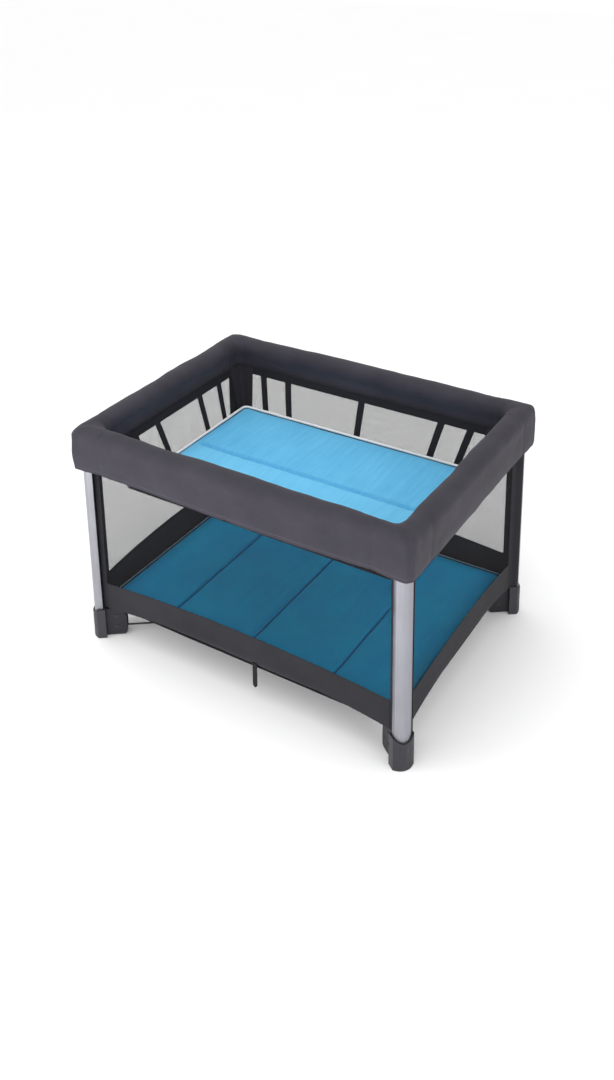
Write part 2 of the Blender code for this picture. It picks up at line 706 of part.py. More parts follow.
def bassinet_webbing():
    """Straps up the inside of the tub's walls, hung from a tape around its rim."""
    strips = []
    for turn, places, reach, span, high in (
        (math.pi / 2, STRAPS_LONG, (TUB_TOP[1], TUB_BOTTOM[1]), TUB_TOP[0], TUB_HIGH),
        (0, STRAPS_SHORT, (TUB_TOP[0], TUB_BOTTOM[0]), TUB_TOP[1], TUB_HIGH - 0.0005),
    ):
        for side in (turn, turn + math.pi):
            half = span - RIM_END_GAP
            strips.append(sloping_strip(TUB_HIGH - high + TAPE_LOW_Z, high, half, 0, reach, side))
            strips += [
                sloping_strip(STRAP_LOW_Z, TAPE_LOW_Z + 0.003, STRAP_HALF, at, reach, side, 0.0014)
                for at in places
            ]
    return joined(strips[0], *strips[1:])


HANGER_X = 0.055


def hanging_strap():
    """A short loop of webbing below the middle of the front band."""
    y = -LEG_Y + WALL_HALF + GAP
    return box((HANGER_X - 0.0075, y, 0.046), (HANGER_X + 0.0075, y + 0.0022, 0.122))


# ---------------------------------------------------------------- assembly


def build():
    origin = pivot("playpen_frame", (0, 0, 0))
    hub = pivot("hub_frame", (0, 0, ARM_Z), origin)
    for name, (sx, sy) in LEGS.items():
        frame = leg_frame(sx, sy)
        foot_end, hub_end = inward_points(ARM_SHIFT, ARM_Z)
        leg = pivot(f"leg_{name}_pivot", frame @ foot_end, origin)
        node(f"leg_tube_{name}", [leg_tube(frame)], ALUMINIUM, leg)
        node(f"foot_{name}", [foot(frame)], PLASTIC, leg)
        node(f"corner_bracket_{name}", [corner_bracket(sx, sy, frame)], PLASTIC, leg)
        node(f"corner_fabric_{name}", [corner_fabric(sx, sy, frame)], NET, leg)
        link_foot_end, link_hub_end = inward_points(LINK_SHIFT, LINK_Z)
        arm_at, link_at, holder = hub_end, link_hub_end, hub
        if name == FIXED_LEG:
            arm_at, link_at, holder = foot_end, link_foot_end, leg
        arm_pivot = pivot(f"arm_{name}_pivot", frame @ arm_at, holder)
        node(f"arm_{name}", [arm(frame)], STEEL, arm_pivot)
        link_pivot = pivot(f"link_{name}_pivot", frame @ link_at, holder)
        node(f"link_{name}", [link(frame)], STEEL, link_pivot)

    node("hub_body", [hub_body()], PLASTIC, hub)
    node("hub_cap", [hub_cap()], PLASTIC, hub)
    node("hub_handle", [hub_handle()], PLASTIC, hub)
    node("floor_fabric", [floor_fabric()], FLOOR_CLOTH, hub)

    halves = (
        (ALONG_X, "front_left", "rail_front_left"), (ALONG_X, "front_right", "rail_front_right"),
        (ALONG_X, "rear_left", "rail_rear_left"), (ALONG_X, "rear_right", "rail_rear_right"),
        (ALONG_Y, "front_left", "rail_left_front"), (ALONG_Y, "rear_left", "rail_left_rear"),
        (ALONG_Y, "front_right", "rail_right_front"), (ALONG_Y, "rear_right", "rail_right_rear"),
    )
    mids = {"rail_front_left": "front", "rail_rear_left": "rear", "rail_left_rear": "left",
            "rail_right_rear": "right"}
    for direction, corner, name in halves:
        sx, sy = LEGS[corner]
        frame = side_frame(direction, sx, sy)
        rail = pivot(f"{name}_pivot", frame.to_translation(), origin)
        node(name, [half_rail(direction, frame)], STEEL, rail)
        node(name.replace("rail_", "cover_"), [half_cover(direction, sx, sy)], COVER_CLOTH, rail)
        if name in mids:
            length, _ = side_lengths(direction)
            middle = pivot(f"mid_{mids[name]}_pivot", frame @ Vector((length, 0, 0)), rail)
            node(f"mid_joint_{mids[name]}", [mid_joint(direction, frame)], PLASTIC, middle)

    mattress = pivot("mattress_frame", (0, 0, BOARD_LOW), hub)
    node("mattress_pad", [mattress_pad()], MATTRESS_CLOTH, mattress)
    for index in range(len(MATTRESS_SEAMS) - 1):
        node(f"mattress_board_{index + 1}", [mattress_board(index)], BOARD, mattress)
    bassinet = pivot("bassinet_frame", (0, 0, TUB_LOW), hub)
    node("bassinet_tub", [bassinet_tub()], NET, bassinet)
    node("bassinet_pad", [bassinet_pad()], PAD_CLOTH, bassinet)
    node("bassinet_bar_front", [bassinet_bar(-BAR_Y)], STEEL, bassinet)
    node("bassinet_bar_rear", [bassinet_bar(BAR_Y)], STEEL, bassinet)
    node("bassinet_webbing", [bassinet_webbing()], WEBBING, bassinet)
    front_right = bpy.data.objects["leg_front_right_pivot"]
    node("hanging_strap", [hanging_strap()], WEBBING, front_right)


build()
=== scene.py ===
"""Looks of the folding playpen: padded rail covers, net walls, quilted mattress, bassinet, ribbed legs.

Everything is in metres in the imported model's frame: +Z up, +X along the long side, front at -Y.
A quarter of the playpen belongs to each leg, so most fabric is made once and placed by signs.
"""

import json
import math

import bmesh
import bpy
import numpy as np
from mathutils import Matrix, Vector, noise


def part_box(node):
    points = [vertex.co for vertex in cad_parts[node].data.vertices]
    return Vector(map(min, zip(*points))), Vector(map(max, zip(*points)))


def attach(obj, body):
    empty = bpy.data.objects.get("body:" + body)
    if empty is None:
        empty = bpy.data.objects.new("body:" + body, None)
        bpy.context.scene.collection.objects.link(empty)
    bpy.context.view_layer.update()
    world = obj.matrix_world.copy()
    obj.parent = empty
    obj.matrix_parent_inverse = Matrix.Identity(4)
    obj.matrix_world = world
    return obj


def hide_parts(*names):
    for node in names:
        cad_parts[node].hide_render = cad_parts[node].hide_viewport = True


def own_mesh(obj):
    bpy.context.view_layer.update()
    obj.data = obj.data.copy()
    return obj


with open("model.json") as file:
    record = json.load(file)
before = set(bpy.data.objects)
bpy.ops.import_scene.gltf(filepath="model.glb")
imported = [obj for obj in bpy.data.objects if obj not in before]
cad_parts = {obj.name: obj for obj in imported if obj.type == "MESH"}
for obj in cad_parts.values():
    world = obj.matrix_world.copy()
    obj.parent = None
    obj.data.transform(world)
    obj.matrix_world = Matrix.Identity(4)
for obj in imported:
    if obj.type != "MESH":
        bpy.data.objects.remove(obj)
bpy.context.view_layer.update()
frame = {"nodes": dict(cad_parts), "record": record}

# ---------------------------------------------------------------- places taken from the frame

MOUNTS = {mount["name"]: mount["pos_m"] for mount in frame["record"]["mounts"]}
LEG_X, LEG_Y = MOUNTS["foot_rear_right_base"][:2]
COVER_LOW, COVER_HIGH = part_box("cover_front_left")
COVER_OUT = -LEG_Y - COVER_LOW.y
COVER_IN = COVER_HIGH.y + LEG_Y
TOP_Z, SKIRT_Z = COVER_HIGH.z, COVER_LOW.z
FLOOR_LOW, FLOOR_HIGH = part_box("floor_fabric")
MATTRESS_LOW, MATTRESS_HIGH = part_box("mattress_pad")
PAD_LOW, PAD_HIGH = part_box("bassinet_pad")
TUB_LOW, TUB_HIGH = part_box("bassinet_tub")
STRAP_LOW, STRAP_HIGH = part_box("hanging_strap")
TUBE_LOW, TUBE_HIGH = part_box("leg_tube_front_left")

LEGS = {
    "front_left": (-1, -1),
    "front_right": (1, -1),
    "rear_left": (-1, 1),
    "rear_right": (1, 1),
}
DIAGONAL = math.hypot(LEG_X, LEG_Y)

CORNER_LENGTH = 0.075  # corner piece of the cover, inward from the leg axis
STRIP_X, STRIP_Y = 0.038, 0.052  # edge of the cloth strip beside a leg, from the leg axis
WALL_TOP = 0.600
BAND_LEG_LOW, BAND_MID_LOW = 0.099, 0.130  # lower edge of the cloth band, at a leg and in the middle
BAND_LEG_HIGH, BAND_MID_HIGH = 0.186, 0.208
FABRIC = 0.0012  # thickness of a single layer of cover cloth
FLAP_ON_ARCH = 0.004  # how far the cloth beside a leg reaches onto its arched face
TUBE_HALF, TUBE_BACK, TUBE_SHOULDER, TUBE_BULGE = 0.025, 0.014, 0.002, 0.012  # section of a leg


# ---------------------------------------------------------------- meshes


def new_piece(name, mesh, finish=None):
    piece = bpy.data.objects.new(name, mesh)
    bpy.context.scene.collection.objects.link(piece)
    if finish is not None:
        mesh.materials.append(finish)
    return piece


def grid_mesh(name, rows, columns, place, cloth, around=False, flip=False):
    """A sheet of quads. place(a, b) gives a point and cloth(a, b) its cloth coordinates in metres."""
    shape = bmesh.new()
    layer = shape.loops.layers.uv.new("cloth")
    points = [[shape.verts.new(place(r / rows, c / columns)) for c in range(columns + 1)]
              for r in range(rows + (0 if around else 1))]
    for r in range(rows):
        after = (r + 1) % len(points)
        for c in range(columns):
            corners = [(r, c), (r, c + 1), (r + 1, c + 1), (r + 1, c)]
            verts = [points[r][c], points[r][c + 1], points[after][c + 1], points[after][c]]
            if flip:
                corners.reverse()
                verts.reverse()
            face = shape.faces.new(verts)
            face.smooth = True
            for loop, (i, j) in zip(face.loops, corners):
                loop[layer].uv = cloth(i / rows, j / columns)
    mesh = bpy.data.meshes.new(name)
    shape.to_mesh(mesh)
    shape.free()
    return mesh


def settle(piece):
    """Applies a piece's modifiers, so that its mesh is final."""
    bpy.context.view_layer.update()
    graph = bpy.context.evaluated_depsgraph_get()
    mesh = bpy.data.meshes.new_from_object(
        piece.evaluated_get(graph), preserve_all_data_layers=True, depsgraph=graph)
    piece.modifiers.clear()
    piece.data = mesh
    return piece


def thicken(piece, thickness, offset=-1.0):
    """Gives a sheet its thickness, with sharp edges at its rim."""
    skin = piece.modifiers.new("skin", "SOLIDIFY")
    skin.thickness = thickness
    skin.offset = offset
    skin.use_even_offset = True
    settle(piece)
    piece.data.set_sharp_from_angle(angle=math.radians(50))
    return piece


def tube_along(name, points, radius, finish, closed=False, sides=3):
    """A round cord of piping or thread along a line of points."""
    curve = bpy.data.curves.new(name, "CURVE")
    curve.dimensions = "3D"
    curve.bevel_depth = radius
    curve.bevel_resolution = sides
    curve.use_fill_caps = True
    spline = curve.splines.new("POLY")
    spline.points.add(len(points) - 1)
    for point, place in zip(spline.points, points):
        point.co = (*place, 1.0)
    spline.use_cyclic_u = closed
    piece = bpy.data.objects.new(name, curve)
    bpy.context.scene.collection.objects.link(piece)
    bpy.context.view_layer.update()
    mesh = bpy.data.meshes.new_from_object(piece.evaluated_get(bpy.context.evaluated_depsgraph_get()))
    bpy.data.objects.remove(piece, do_unlink=True)
    mesh.name = name
    mesh.materials.clear()
    mesh.shade_smooth()
    return new_piece(name, mesh, finish)


def ease(t):
    t = min(1.0, max(0.0, t))
    return t * t * (3 - 2 * t)


def mix(a, b, t):
    return a + (b - a) * t


def ripple(place, scale, seed=0.0):
    """Smooth noise from -1 to 1."""
    across, along, up = (p * s for p, s in zip(place, scale))
    return noise.noise(Vector((across + seed, along - seed, up)))


# ---------------------------------------------------------------- materials


class Finish:
    """Builds one procedural material node by node."""

    def __init__(self, name, **sockets):
        self.material = bpy.data.materials.new(name)
        self.material.use_nodes = True
        self.tree = self.material.node_tree
        self.shader = self.tree.nodes["Principled BSDF"]
        for socket, value in sockets.items():
            self.shader.inputs[socket.replace("_", " ")].default_value = value
        self.places = self.tree.nodes.new("ShaderNodeTexCoord")

    def plug(self, value, socket):
        if isinstance(value, bpy.types.NodeSocket):
            self.tree.links.new(value, socket)
        else:
            socket.default_value = value

    def node(self, kind, *inputs, **settings):
        made = self.tree.nodes.new("ShaderNode" + kind)
        for key, value in settings.items():
            setattr(made, key, value)
        for index, value in enumerate(inputs):
            if value is not None:
                self.plug(value, made.inputs[index])
        return made

    def math(self, operation, *inputs):
        return self.node("Math", *inputs, operation=operation).outputs[0]

    def cloth(self):
        """Cloth coordinates in metres, as U and V."""
        split = self.node("SeparateXYZ", self.places.outputs["UV"])
        return split.outputs[0], split.outputs[1]

    def object_axes(self):
        split = self.node("SeparateXYZ", self.places.outputs["Object"])
        return split.outputs[0], split.outputs[1], split.outputs[2]

    def noise(self, scale, detail=2.0, roughness=0.5, stretch=None):
        vector = self.places.outputs["Object"]
        if stretch is not None:
            vector = self.node("VectorMath", vector, stretch, operation="MULTIPLY").outputs[0]
        made = self.node("TexNoise", vector)
        made.inputs["Scale"].default_value = scale
        made.inputs["Detail"].default_value = detail
        made.inputs["Roughness"].default_value = roughness
        return made.outputs[0]

    def wave(self, value, period):
        """A sine of a coordinate, from -1 to 1, that repeats after period metres."""
        return self.math("SINE", self.math("MULTIPLY", value, 2 * math.pi / period))

    def weave(self, across, along, thread):
        """Height of a plain weave from 0 to 1."""
        crossing = self.math("MULTIPLY", self.wave(across, 2 * thread), self.wave(along, 2 * thread))
        return self.math("MULTIPLY_ADD", crossing, 0.5, 0.5)

    def remap(self, value, low, high, new_low=0.0, new_high=1.0):
        made = self.node("MapRange", value, low, high, new_low, new_high)
        return made.outputs[0]

    def blend_colors(self, share, first, second):
        made = self.tree.nodes.new("ShaderNodeMix")
        made.data_type = "RGBA"
        self.plug(share, made.inputs["Factor"])
        for value, name in ((first, "A"), (second, "B")):
            socket = [s for s in made.inputs if s.name == name and s.type == "RGBA"][0]
            self.plug(value if isinstance(value, bpy.types.NodeSocket) else (*value, 1.0), socket)
        return [s for s in made.outputs if s.type == "RGBA"][0]

    def color(self, value):
        self.plug(value, self.shader.inputs["Base Color"])

    def roughness(self, value):
        self.plug(value, self.shader.inputs["Roughness"])

    def bump(self, height, distance, strength=1.0, after=None):
        made = self.tree.nodes.new("ShaderNodeBump")
        made.inputs["Strength"].default_value = strength
        made.inputs["Distance"].default_value = distance
        self.tree.links.new(height, made.inputs["Height"])
        if after is not None:
            self.tree.links.new(after, made.inputs["Normal"])
        self.tree.links.new(made.outputs[0], self.shader.inputs["Normal"])
        return made.outputs[0]


def scaled(color, factor):
    """A colour made darker or lighter, no channel above 1."""
    return [min(1.0, c * factor) for c in color]


def woven_cloth(name, dark, light, thread=0.0009, sheen=0.0, stitch=None, roughness=0.85):
    """Plain-weave polyester: melange colour, thread relief, creases and an optional line of stitching."""
    made = Finish(name, Roughness=roughness, Sheen_Weight=sheen, Sheen_Roughness=0.45,
                  Specular_IOR_Level=0.3)
    across, along = made.cloth()
    weave = made.weave(across, along, thread)
    fibres = made.noise(700.0, 3.0, 0.7)
    clouds = made.noise(9.0, 3.0, 0.6)
    share = made.math("ADD", made.math("MULTIPLY", fibres, 0.55), made.math("MULTIPLY", clouds, 0.45))
    share = made.math("MULTIPLY", share, made.remap(weave, 0.0, 1.0, 0.75, 1.15))
    color = made.blend_colors(made.remap(share, 0.3, 0.68), dark, light)
    height = made.math("MULTIPLY", weave, 0.25)
    if stitch is not None:
        off_row = made.math("ABSOLUTE", made.math("SUBTRACT", along, stitch))
        in_row = made.math("LESS_THAN", off_row, 0.0006)
        dash = made.math("LESS_THAN", made.math("FRACT", made.math("DIVIDE", across, 0.0042)), 0.62)
        thread_here = made.math("MULTIPLY", in_row, dash)
        color = made.blend_colors(made.math("MULTIPLY", thread_here, 0.8), color, scaled(light, 2.6))
        height = made.math("ADD", height, thread_here)
    made.color(color)
    creases = made.bump(made.noise(22.0, 4.0, 0.6), 0.0022, 0.35)
    made.bump(height, 0.0005, 0.6, creases)
    made.roughness(made.remap(fibres, 0.3, 0.7, roughness - 0.08, roughness + 0.06))
    return made.material


def net_cloth(name, thread_color, cell, open_level):
    """Warp-knitted net: hexagonal holes between fine black threads."""
    made = Finish(name, Roughness=0.75, Specular_IOR_Level=0.15)
    across, along = made.cloth()
    total = None
    for degrees in (90, 210, 330):
        turn = math.radians(degrees)
        slanted = made.math("ADD", made.math("MULTIPLY", across, math.cos(turn)),
                            made.math("MULTIPLY", along, math.sin(turn)))
        wave = made.math("COSINE", made.math("MULTIPLY", slanted, 4 * math.pi / (math.sqrt(3) * cell)))
        total = wave if total is None else made.math("ADD", total, wave)
    solid = made.remap(total, open_level - 0.2, open_level + 0.2, 1.0, 0.0)
    fibres = made.noise(900.0, 2.0, 0.6)
    made.color(made.blend_colors(fibres, scaled(thread_color, 0.7), scaled(thread_color, 1.5)))
    made.plug(solid, made.shader.inputs["Alpha"])
    made.bump(total, 0.0002, 0.5)
    return made.material


def quilted_knit(name, dark, light, rib, sheen, sheen_tint=(1.0, 1.0, 1.0), front_painted_light=0.0):
    """Soft knit with fine ribs along the short side and a faint honeycomb relief, and optional painted light
    on its front half.
    """
    made = Finish(name, Roughness=0.8, Sheen_Weight=sheen, Sheen_Roughness=0.4, Specular_IOR_Level=0.3,
                  Sheen_Tint=(*sheen_tint, 1.0))
    x, y, _ = made.object_axes()
    ribs = made.math("MULTIPLY_ADD", made.wave(x, rib), 0.5, 0.5)
    slanted = made.math("ADD", y, made.math("MULTIPLY", x, 0.5))
    rows = made.math("MULTIPLY_ADD", made.wave(slanted, rib * 1.7), 0.5, 0.5)
    knit = made.math("MULTIPLY", ribs, made.remap(rows, 0.0, 1.0, 0.55, 1.0))
    streaks = made.noise(90.0, 3.0, 0.6, (1.0, 0.08, 1.0))
    clouds = made.noise(6.0, 3.0, 0.55)
    share = made.math("ADD", made.math("MULTIPLY", streaks, 0.5), made.math("MULTIPLY", clouds, 0.5))
    share = made.math("ADD", made.math("MULTIPLY", knit, 0.25), made.math("MULTIPLY", share, 0.85))
    # painted light: the panel's front half (negative y) is painted lighter by this amount
    share = made.math("ADD", share, made.remap(y, -0.006, 0.006, front_painted_light, 0.0))
    made.color(made.blend_colors(made.remap(share, 0.32, 0.78), dark, light))
    soft = made.bump(made.noise(28.0, 3.0, 0.5), 0.0020, 0.3)
    made.bump(knit, 0.0006, 0.5, soft)
    return made.material


def tape_cloth(name, color, rib=0.0016):
    """Woven tape: ribs along its length and a herringbone across."""
    made = Finish(name, Roughness=0.8, Specular_IOR_Level=0.2)
    across, along = made.cloth()
    zigzag = made.math("PINGPONG", across, 0.003)
    slanted = made.wave(made.math("ADD", along, zigzag), rib)
    height = made.math("MULTIPLY_ADD", slanted, 0.5, 0.5)
    made.color(made.blend_colors(height, scaled(color, 0.65), scaled(color, 1.7)))
    made.bump(height, 0.0004, 0.6)
    return made.material


def ribbed_metal(name):
    """Anodised aluminium: drawn lines along the tube, faint smudges and a satin sheen."""
    made = Finish(name, Metallic=1.0, Roughness=0.36)
    lines = made.noise(420.0, 3.0, 0.6, (1.0, 1.0, 0.012))
    smudges = made.noise(14.0, 3.0, 0.6)
    share = made.math("ADD", made.math("MULTIPLY", lines, 0.6), made.math("MULTIPLY", smudges, 0.4))
    made.color(made.blend_colors(share, (0.23, 0.23, 0.26), (0.39, 0.39, 0.43)))
    made.roughness(made.remap(smudges, 0.3, 0.7, 0.30, 0.46))
    made.bump(lines, 0.0002, 0.4)
    return made.material


def moulded_plastic(name, color, roughness=0.5):
    """Spark-textured moulding: fine pitting, and edges rubbed a little lighter."""
    made = Finish(name, Roughness=roughness, Specular_IOR_Level=0.3)
    grain = made.noise(1400.0, 2.0, 0.6)
    clouds = made.noise(30.0, 3.0, 0.6)
    worn = made.node("NewGeometry").outputs["Pointiness"]
    edges = made.remap(worn, 0.51, 0.58)
    base = made.blend_colors(clouds, scaled(color, 0.8), scaled(color, 1.25))
    rubbed = [c + 0.02 for c in scaled(color, 2.4)]
    made.color(made.blend_colors(made.math("MULTIPLY", edges, 0.45), base, rubbed))
    made.roughness(made.remap(clouds, 0.3, 0.7, roughness - 0.07, roughness + 0.09))
    made.bump(grain, 0.0003, 0.35)
    return made.material


def coated_steel(name, color):
    """Satin powder coat with orange peel and a few scuffs."""
    made = Finish(name, Roughness=0.42, Coat_Weight=0.15, Coat_Roughness=0.3)
    peel = made.noise(500.0, 2.0, 0.5)
    scuffs = made.remap(made.noise(60.0, 5.0, 0.75), 0.62, 0.72)
    made.color(made.blend_colors(made.math("MULTIPLY", scuffs, 0.5), color, [c + 0.09 for c in color]))
    made.roughness(made.remap(scuffs, 0.0, 1.0, 0.38, 0.6))
    made.bump(peel, 0.00025, 0.4)
    return made.material


def pressed_board(name):
    """Hardboard: brown fibres pressed flat."""
    made = Finish(name, Roughness=0.68)
    fibres = made.noise(160.0, 5.0, 0.7, (1.0, 0.3, 1.0))
    made.color(made.blend_colors(fibres, (0.10, 0.055, 0.025), (0.30, 0.18, 0.09)))
    made.bump(fibres, 0.0004, 0.4)
    return made.material


COVER_CLOTH = woven_cloth("cover_cloth", (0.020, 0.018, 0.025), (0.043, 0.039, 0.053),
                          sheen=0.06, stitch=0.010)
BAND_CLOTH = woven_cloth("band_cloth", (0.008, 0.008, 0.011), (0.019, 0.018, 0.024),
                         sheen=0.03, stitch=0.008)
STRIP_CLOTH = woven_cloth("strip_cloth", (0.010, 0.009, 0.012), (0.021, 0.019, 0.024), sheen=0.02)
LINING = woven_cloth("floor_lining", (0.010, 0.010, 0.012), (0.024, 0.023, 0.028),
                     thread=0.0007, sheen=0.03)
NET = net_cloth("black_net", (0.010, 0.010, 0.012), cell=0.0022, open_level=-0.76)
TUB_NET = net_cloth("tub_net", (0.020, 0.020, 0.023), cell=0.0034, open_level=-0.80)
MATTRESS_KNIT = quilted_knit("mattress_knit", (0.002, 0.38, 0.84), (0.006, 0.60, 0.98),
                             rib=0.0062, sheen=0.4, sheen_tint=(0.02, 0.62, 1.0))
# the pad's front half gets painted light
PAD_KNIT = quilted_knit("pad_knit", (0.075, 0.37, 0.64), (0.15, 0.52, 0.79),
                        rib=0.0024, sheen=0.05, front_painted_light=0.15)
WHITE_PIPING = tape_cloth("white_piping", (0.90, 0.93, 0.95))
BLUE_PIPING = tape_cloth("pale_blue_piping", (0.30, 0.50, 0.62))
# dark cords for the seam grooves: partly seam thread, partly painted shade at the bottom of each groove
GROOVE_SHADE_THREAD = tape_cloth("dark_blue_thread", (0.003, 0.20, 0.40))
# darker blue cord for the pad's fold: partly seam thread, partly painted shade in the fold
FOLD_SHADE_THREAD = tape_cloth("blue_thread", (0.04, 0.27, 0.50))
WEBBING = tape_cloth("black_webbing", (0.010, 0.0095, 0.012))
ALUMINIUM = ribbed_metal("ribbed_aluminium")
PLASTIC = moulded_plastic("moulded_plastic", (0.016, 0.015, 0.019))
STEEL = coated_steel("coated_steel", (0.014, 0.014, 0.016))
BOARD = pressed_board("pressed_board")


# ---------------------------------------------------------------- camera, floor and light


def aim(place, target, roll=0.0):
    """A matrix at place whose -Z looks at target."""
    back = (Vector(place) - Vector(target)).normalized()
    right = Vector((0, 0, 1)).cross(back).normalized()
    up = back.cross(right)
    turned = math.cos(roll) * right + math.sin(roll) * up
    raised = math.cos(roll) * up - math.sin(roll) * right
    return Matrix.Translation(place) @ Matrix((turned, raised, back)).transposed().to_4x4()


def make_camera():
    azimuth, elevation, roll = math.radians(32.82), math.radians(17.47), math.radians(-1.11)
    target, distance = Vector((-0.027, -0.0174, 1.292)), 3.065
    back = Vector((math.sin(azimuth) * math.cos(elevation),
                   -math.cos(azimuth) * math.cos(elevation), math.sin(elevation)))
    data = bpy.data.cameras.new("camera")
    data.sensor_width = 36.0
    data.lens = 37.14
    data.shift_x, data.shift_y = 0.0147, -0.2942
    camera = bpy.data.objects.new("camera", data)
    bpy.context.scene.collection.objects.link(camera)
    camera.matrix_world = aim(target + back * distance, target, roll)
    bpy.context.scene.camera = camera


def soft_light(name, place, target, size, power):
    data = bpy.data.lights.new(name, "AREA")
    data.shape = "RECTANGLE"
    data.size, data.size_y = size
    data.energy = power
    light = bpy.data.objects.new(name, data)
    bpy.context.scene.collection.objects.link(light)
    light.matrix_world = aim(place, target)


def make_studio():
    bpy.ops.mesh.primitive_plane_add(size=30.0, location=(0, 0, -0.0005))
    ground = bpy.context.object
    ground.name = "studio_floor"
    paper = Finish("studio_paper", Roughness=0.9, Specular_IOR_Level=0.1)
    tone = paper.noise(1.5, 2.0, 0.5)
    paper.color(paper.blend_colors(tone, (0.94, 0.94, 0.94), (0.96, 0.96, 0.96)))
    ground.data.materials.append(paper.material)
    world = bpy.data.worlds.new("studio")
    bpy.context.scene.world = world
    world.use_nodes = True
    background = world.node_tree.nodes["Background"]
    background.inputs["Color"].default_value = (1.0, 1.0, 1.0, 1.0)
    background.inputs["Strength"].default_value = 1.04
    soft_light("overhead", (-0.6, -0.4, 3.2), (0, 0, 0.3), (2.6, 2.6), 26.0)
    soft_light("left_front", (-2.2, -2.4, 0.9), (0, 0, 0.2), (1.8, 1.4), 28.0)
    soft_light("low_front", (0.4, -2.2, 0.45), (0.05, 0.0, 0.14), (2.4, 0.5), 20.0)
    soft_light("right_front", (3.0, -1.0, 1.4), (0, 0, 0.4), (1.5, 1.8), 18.0)
    bpy.context.scene.view_settings.view_transform = "Standard"


make_camera()
make_studio()


# ---------------------------------------------------------------- padded rail covers


DOME_Z = TOP_Z - 0.030  # where the cover's upright faces turn into its rounded top
DOME_POWER = 2.6
HEM_OUT, HEM_IN = 0.0025, 0.0035  # how far the lower edges hang in from the faces
FLAP_RECESS = 0.0055  # the inner flap hangs behind the padded roll
INNER_HEM_Z = SKIRT_Z + 0.022
POCKET_Z = SKIRT_Z - 0.004
OUTER_ROWS, DOME_ROWS, INNER_ROWS = 9, 16, 7
SECTION_ROWS = OUTER_ROWS + DOME_ROWS + INNER_ROWS
COVER_THICKNESS = 0.004
CORNER_CLOTH_LENGTH = 2.2 * CORNER_LENGTH  # round a leg, along the cloth
CORNER_INSIDE, CORNER_OUTSIDE = 0.036, 0.016  # radii of the cover's path round a leg


def section_point(row, low_out):
    """Outward distance and height of a row of the cover's section, and its length up the cloth."""
    if row <= OUTER_ROWS:
        t = row / OUTER_ROWS
        bulge = 0.0022 * math.sin(math.pi * t)
        return COVER_OUT - HEM_OUT * (1 - t) - 0.001 + bulge * 0.6, mix(low_out, DOME_Z, t)
    if row <= OUTER_ROWS + DOME_ROWS:
        angle = math.pi * (row - OUTER_ROWS) / DOME_ROWS
        half = (COVER_OUT + COVER_IN) / 2 - 0.001
        middle = (COVER_OUT - COVER_IN) / 2
        side, up = math.cos(angle), math.sin(angle)
        power = 2 / DOME_POWER
        return (middle + half * math.copysign(abs(side) ** power, side),
                DOME_Z + (TOP_Z - 0.001 - DOME_Z) * abs(up) ** power)
    t = (row - OUTER_ROWS - DOME_ROWS) / INNER_ROWS
    return -COVER_IN + 0.001 + FLAP_RECESS * ease(t * 2.5) + HEM_IN * t, mix(DOME_Z, INNER_HEM_Z, t)


def corner_place(u, w):
    """A point of the path round a leg, from the long side at u 0 to the short side at u 1."""
    share = (w + COVER_IN) / (COVER_OUT + COVER_IN)
    radius = mix(CORNER_INSIDE, CORNER_OUTSIDE, share)
    turn_at = w - radius
    if u < 0.3:
        return LEG_X + mix(-CORNER_LENGTH, turn_at, u / 0.3), LEG_Y + w
    if u > 0.7:
        return LEG_X + w, LEG_Y + mix(turn_at, -CORNER_LENGTH, (u - 0.7) / 0.3)
    angle = math.pi / 2 * (u - 0.3) / 0.4
    return LEG_X + turn_at + radius * math.sin(angle), LEG_Y + turn_at + radius * math.cos(angle)


def side_place(way, t, w):
    """A point of the path along half a side, from its middle at t 0 to the corner piece at t 1."""
    if way == "x":
        return t * (LEG_X - CORNER_LENGTH), LEG_Y + w
    return LEG_X + w, t * (LEG_Y - CORNER_LENGTH)


def cover_relief(place, height, corner):
    """How far the cloth stands off its smooth shape: long soft folds, and puckers near a corner."""
    folds = ripple((*place, height), (6.0, 6.0, 19.0)) * 0.0030
    fine = ripple((*place, height), (21.0, 21.0, 44.0), 3.7) * 0.0012
    puckers = ripple((*place, height), (40.0, 40.0, 9.0), 8.1) * 0.0024 * corner
    return folds + fine + puckers


def cover_point(sx, sy, flat, row, low_out, corner):
    """A row's point on the cover at a place in plan, with the relief of the cloth."""
    w, z = section_point(row, low_out)
    x, y = flat(w)
    place = (sx * x, sy * y)
    relief = cover_relief(place, z, corner)
    shift = min(0.0, relief - 0.0018)
    bottom = 1 - min(1.0, row / 3) if row < OUTER_ROWS else 0.0
    wave = ripple((*place, 0.0), (11.0, 11.0, 1.0), 5.3) * 0.0022 * bottom
    w += shift if w > 0 else -shift
    x, y = flat(w)
    rise = relief if row > OUTER_ROWS and row < OUTER_ROWS + DOME_ROWS else 0.0
    return Vector((sx * x, sy * y, min(z + rise * 0.7 + wave, TOP_Z + 0.002)))


def section_lengths():
    """Distance up the cloth at each row, from the outer hem."""
    lengths, last = [0.0], section_point(0, SKIRT_Z)
    for row in range(1, SECTION_ROWS + 1):
        here = section_point(row, SKIRT_Z)
        lengths.append(lengths[-1] + math.dist(last, here))
        last = here
    return lengths


CLOTH_ROWS = section_lengths()


def seam_dip(t):
    """Pulls the cover in at the sewn joint between a side and a corner piece."""
    return 0.0014 * math.exp(-((t / 0.006) ** 2))


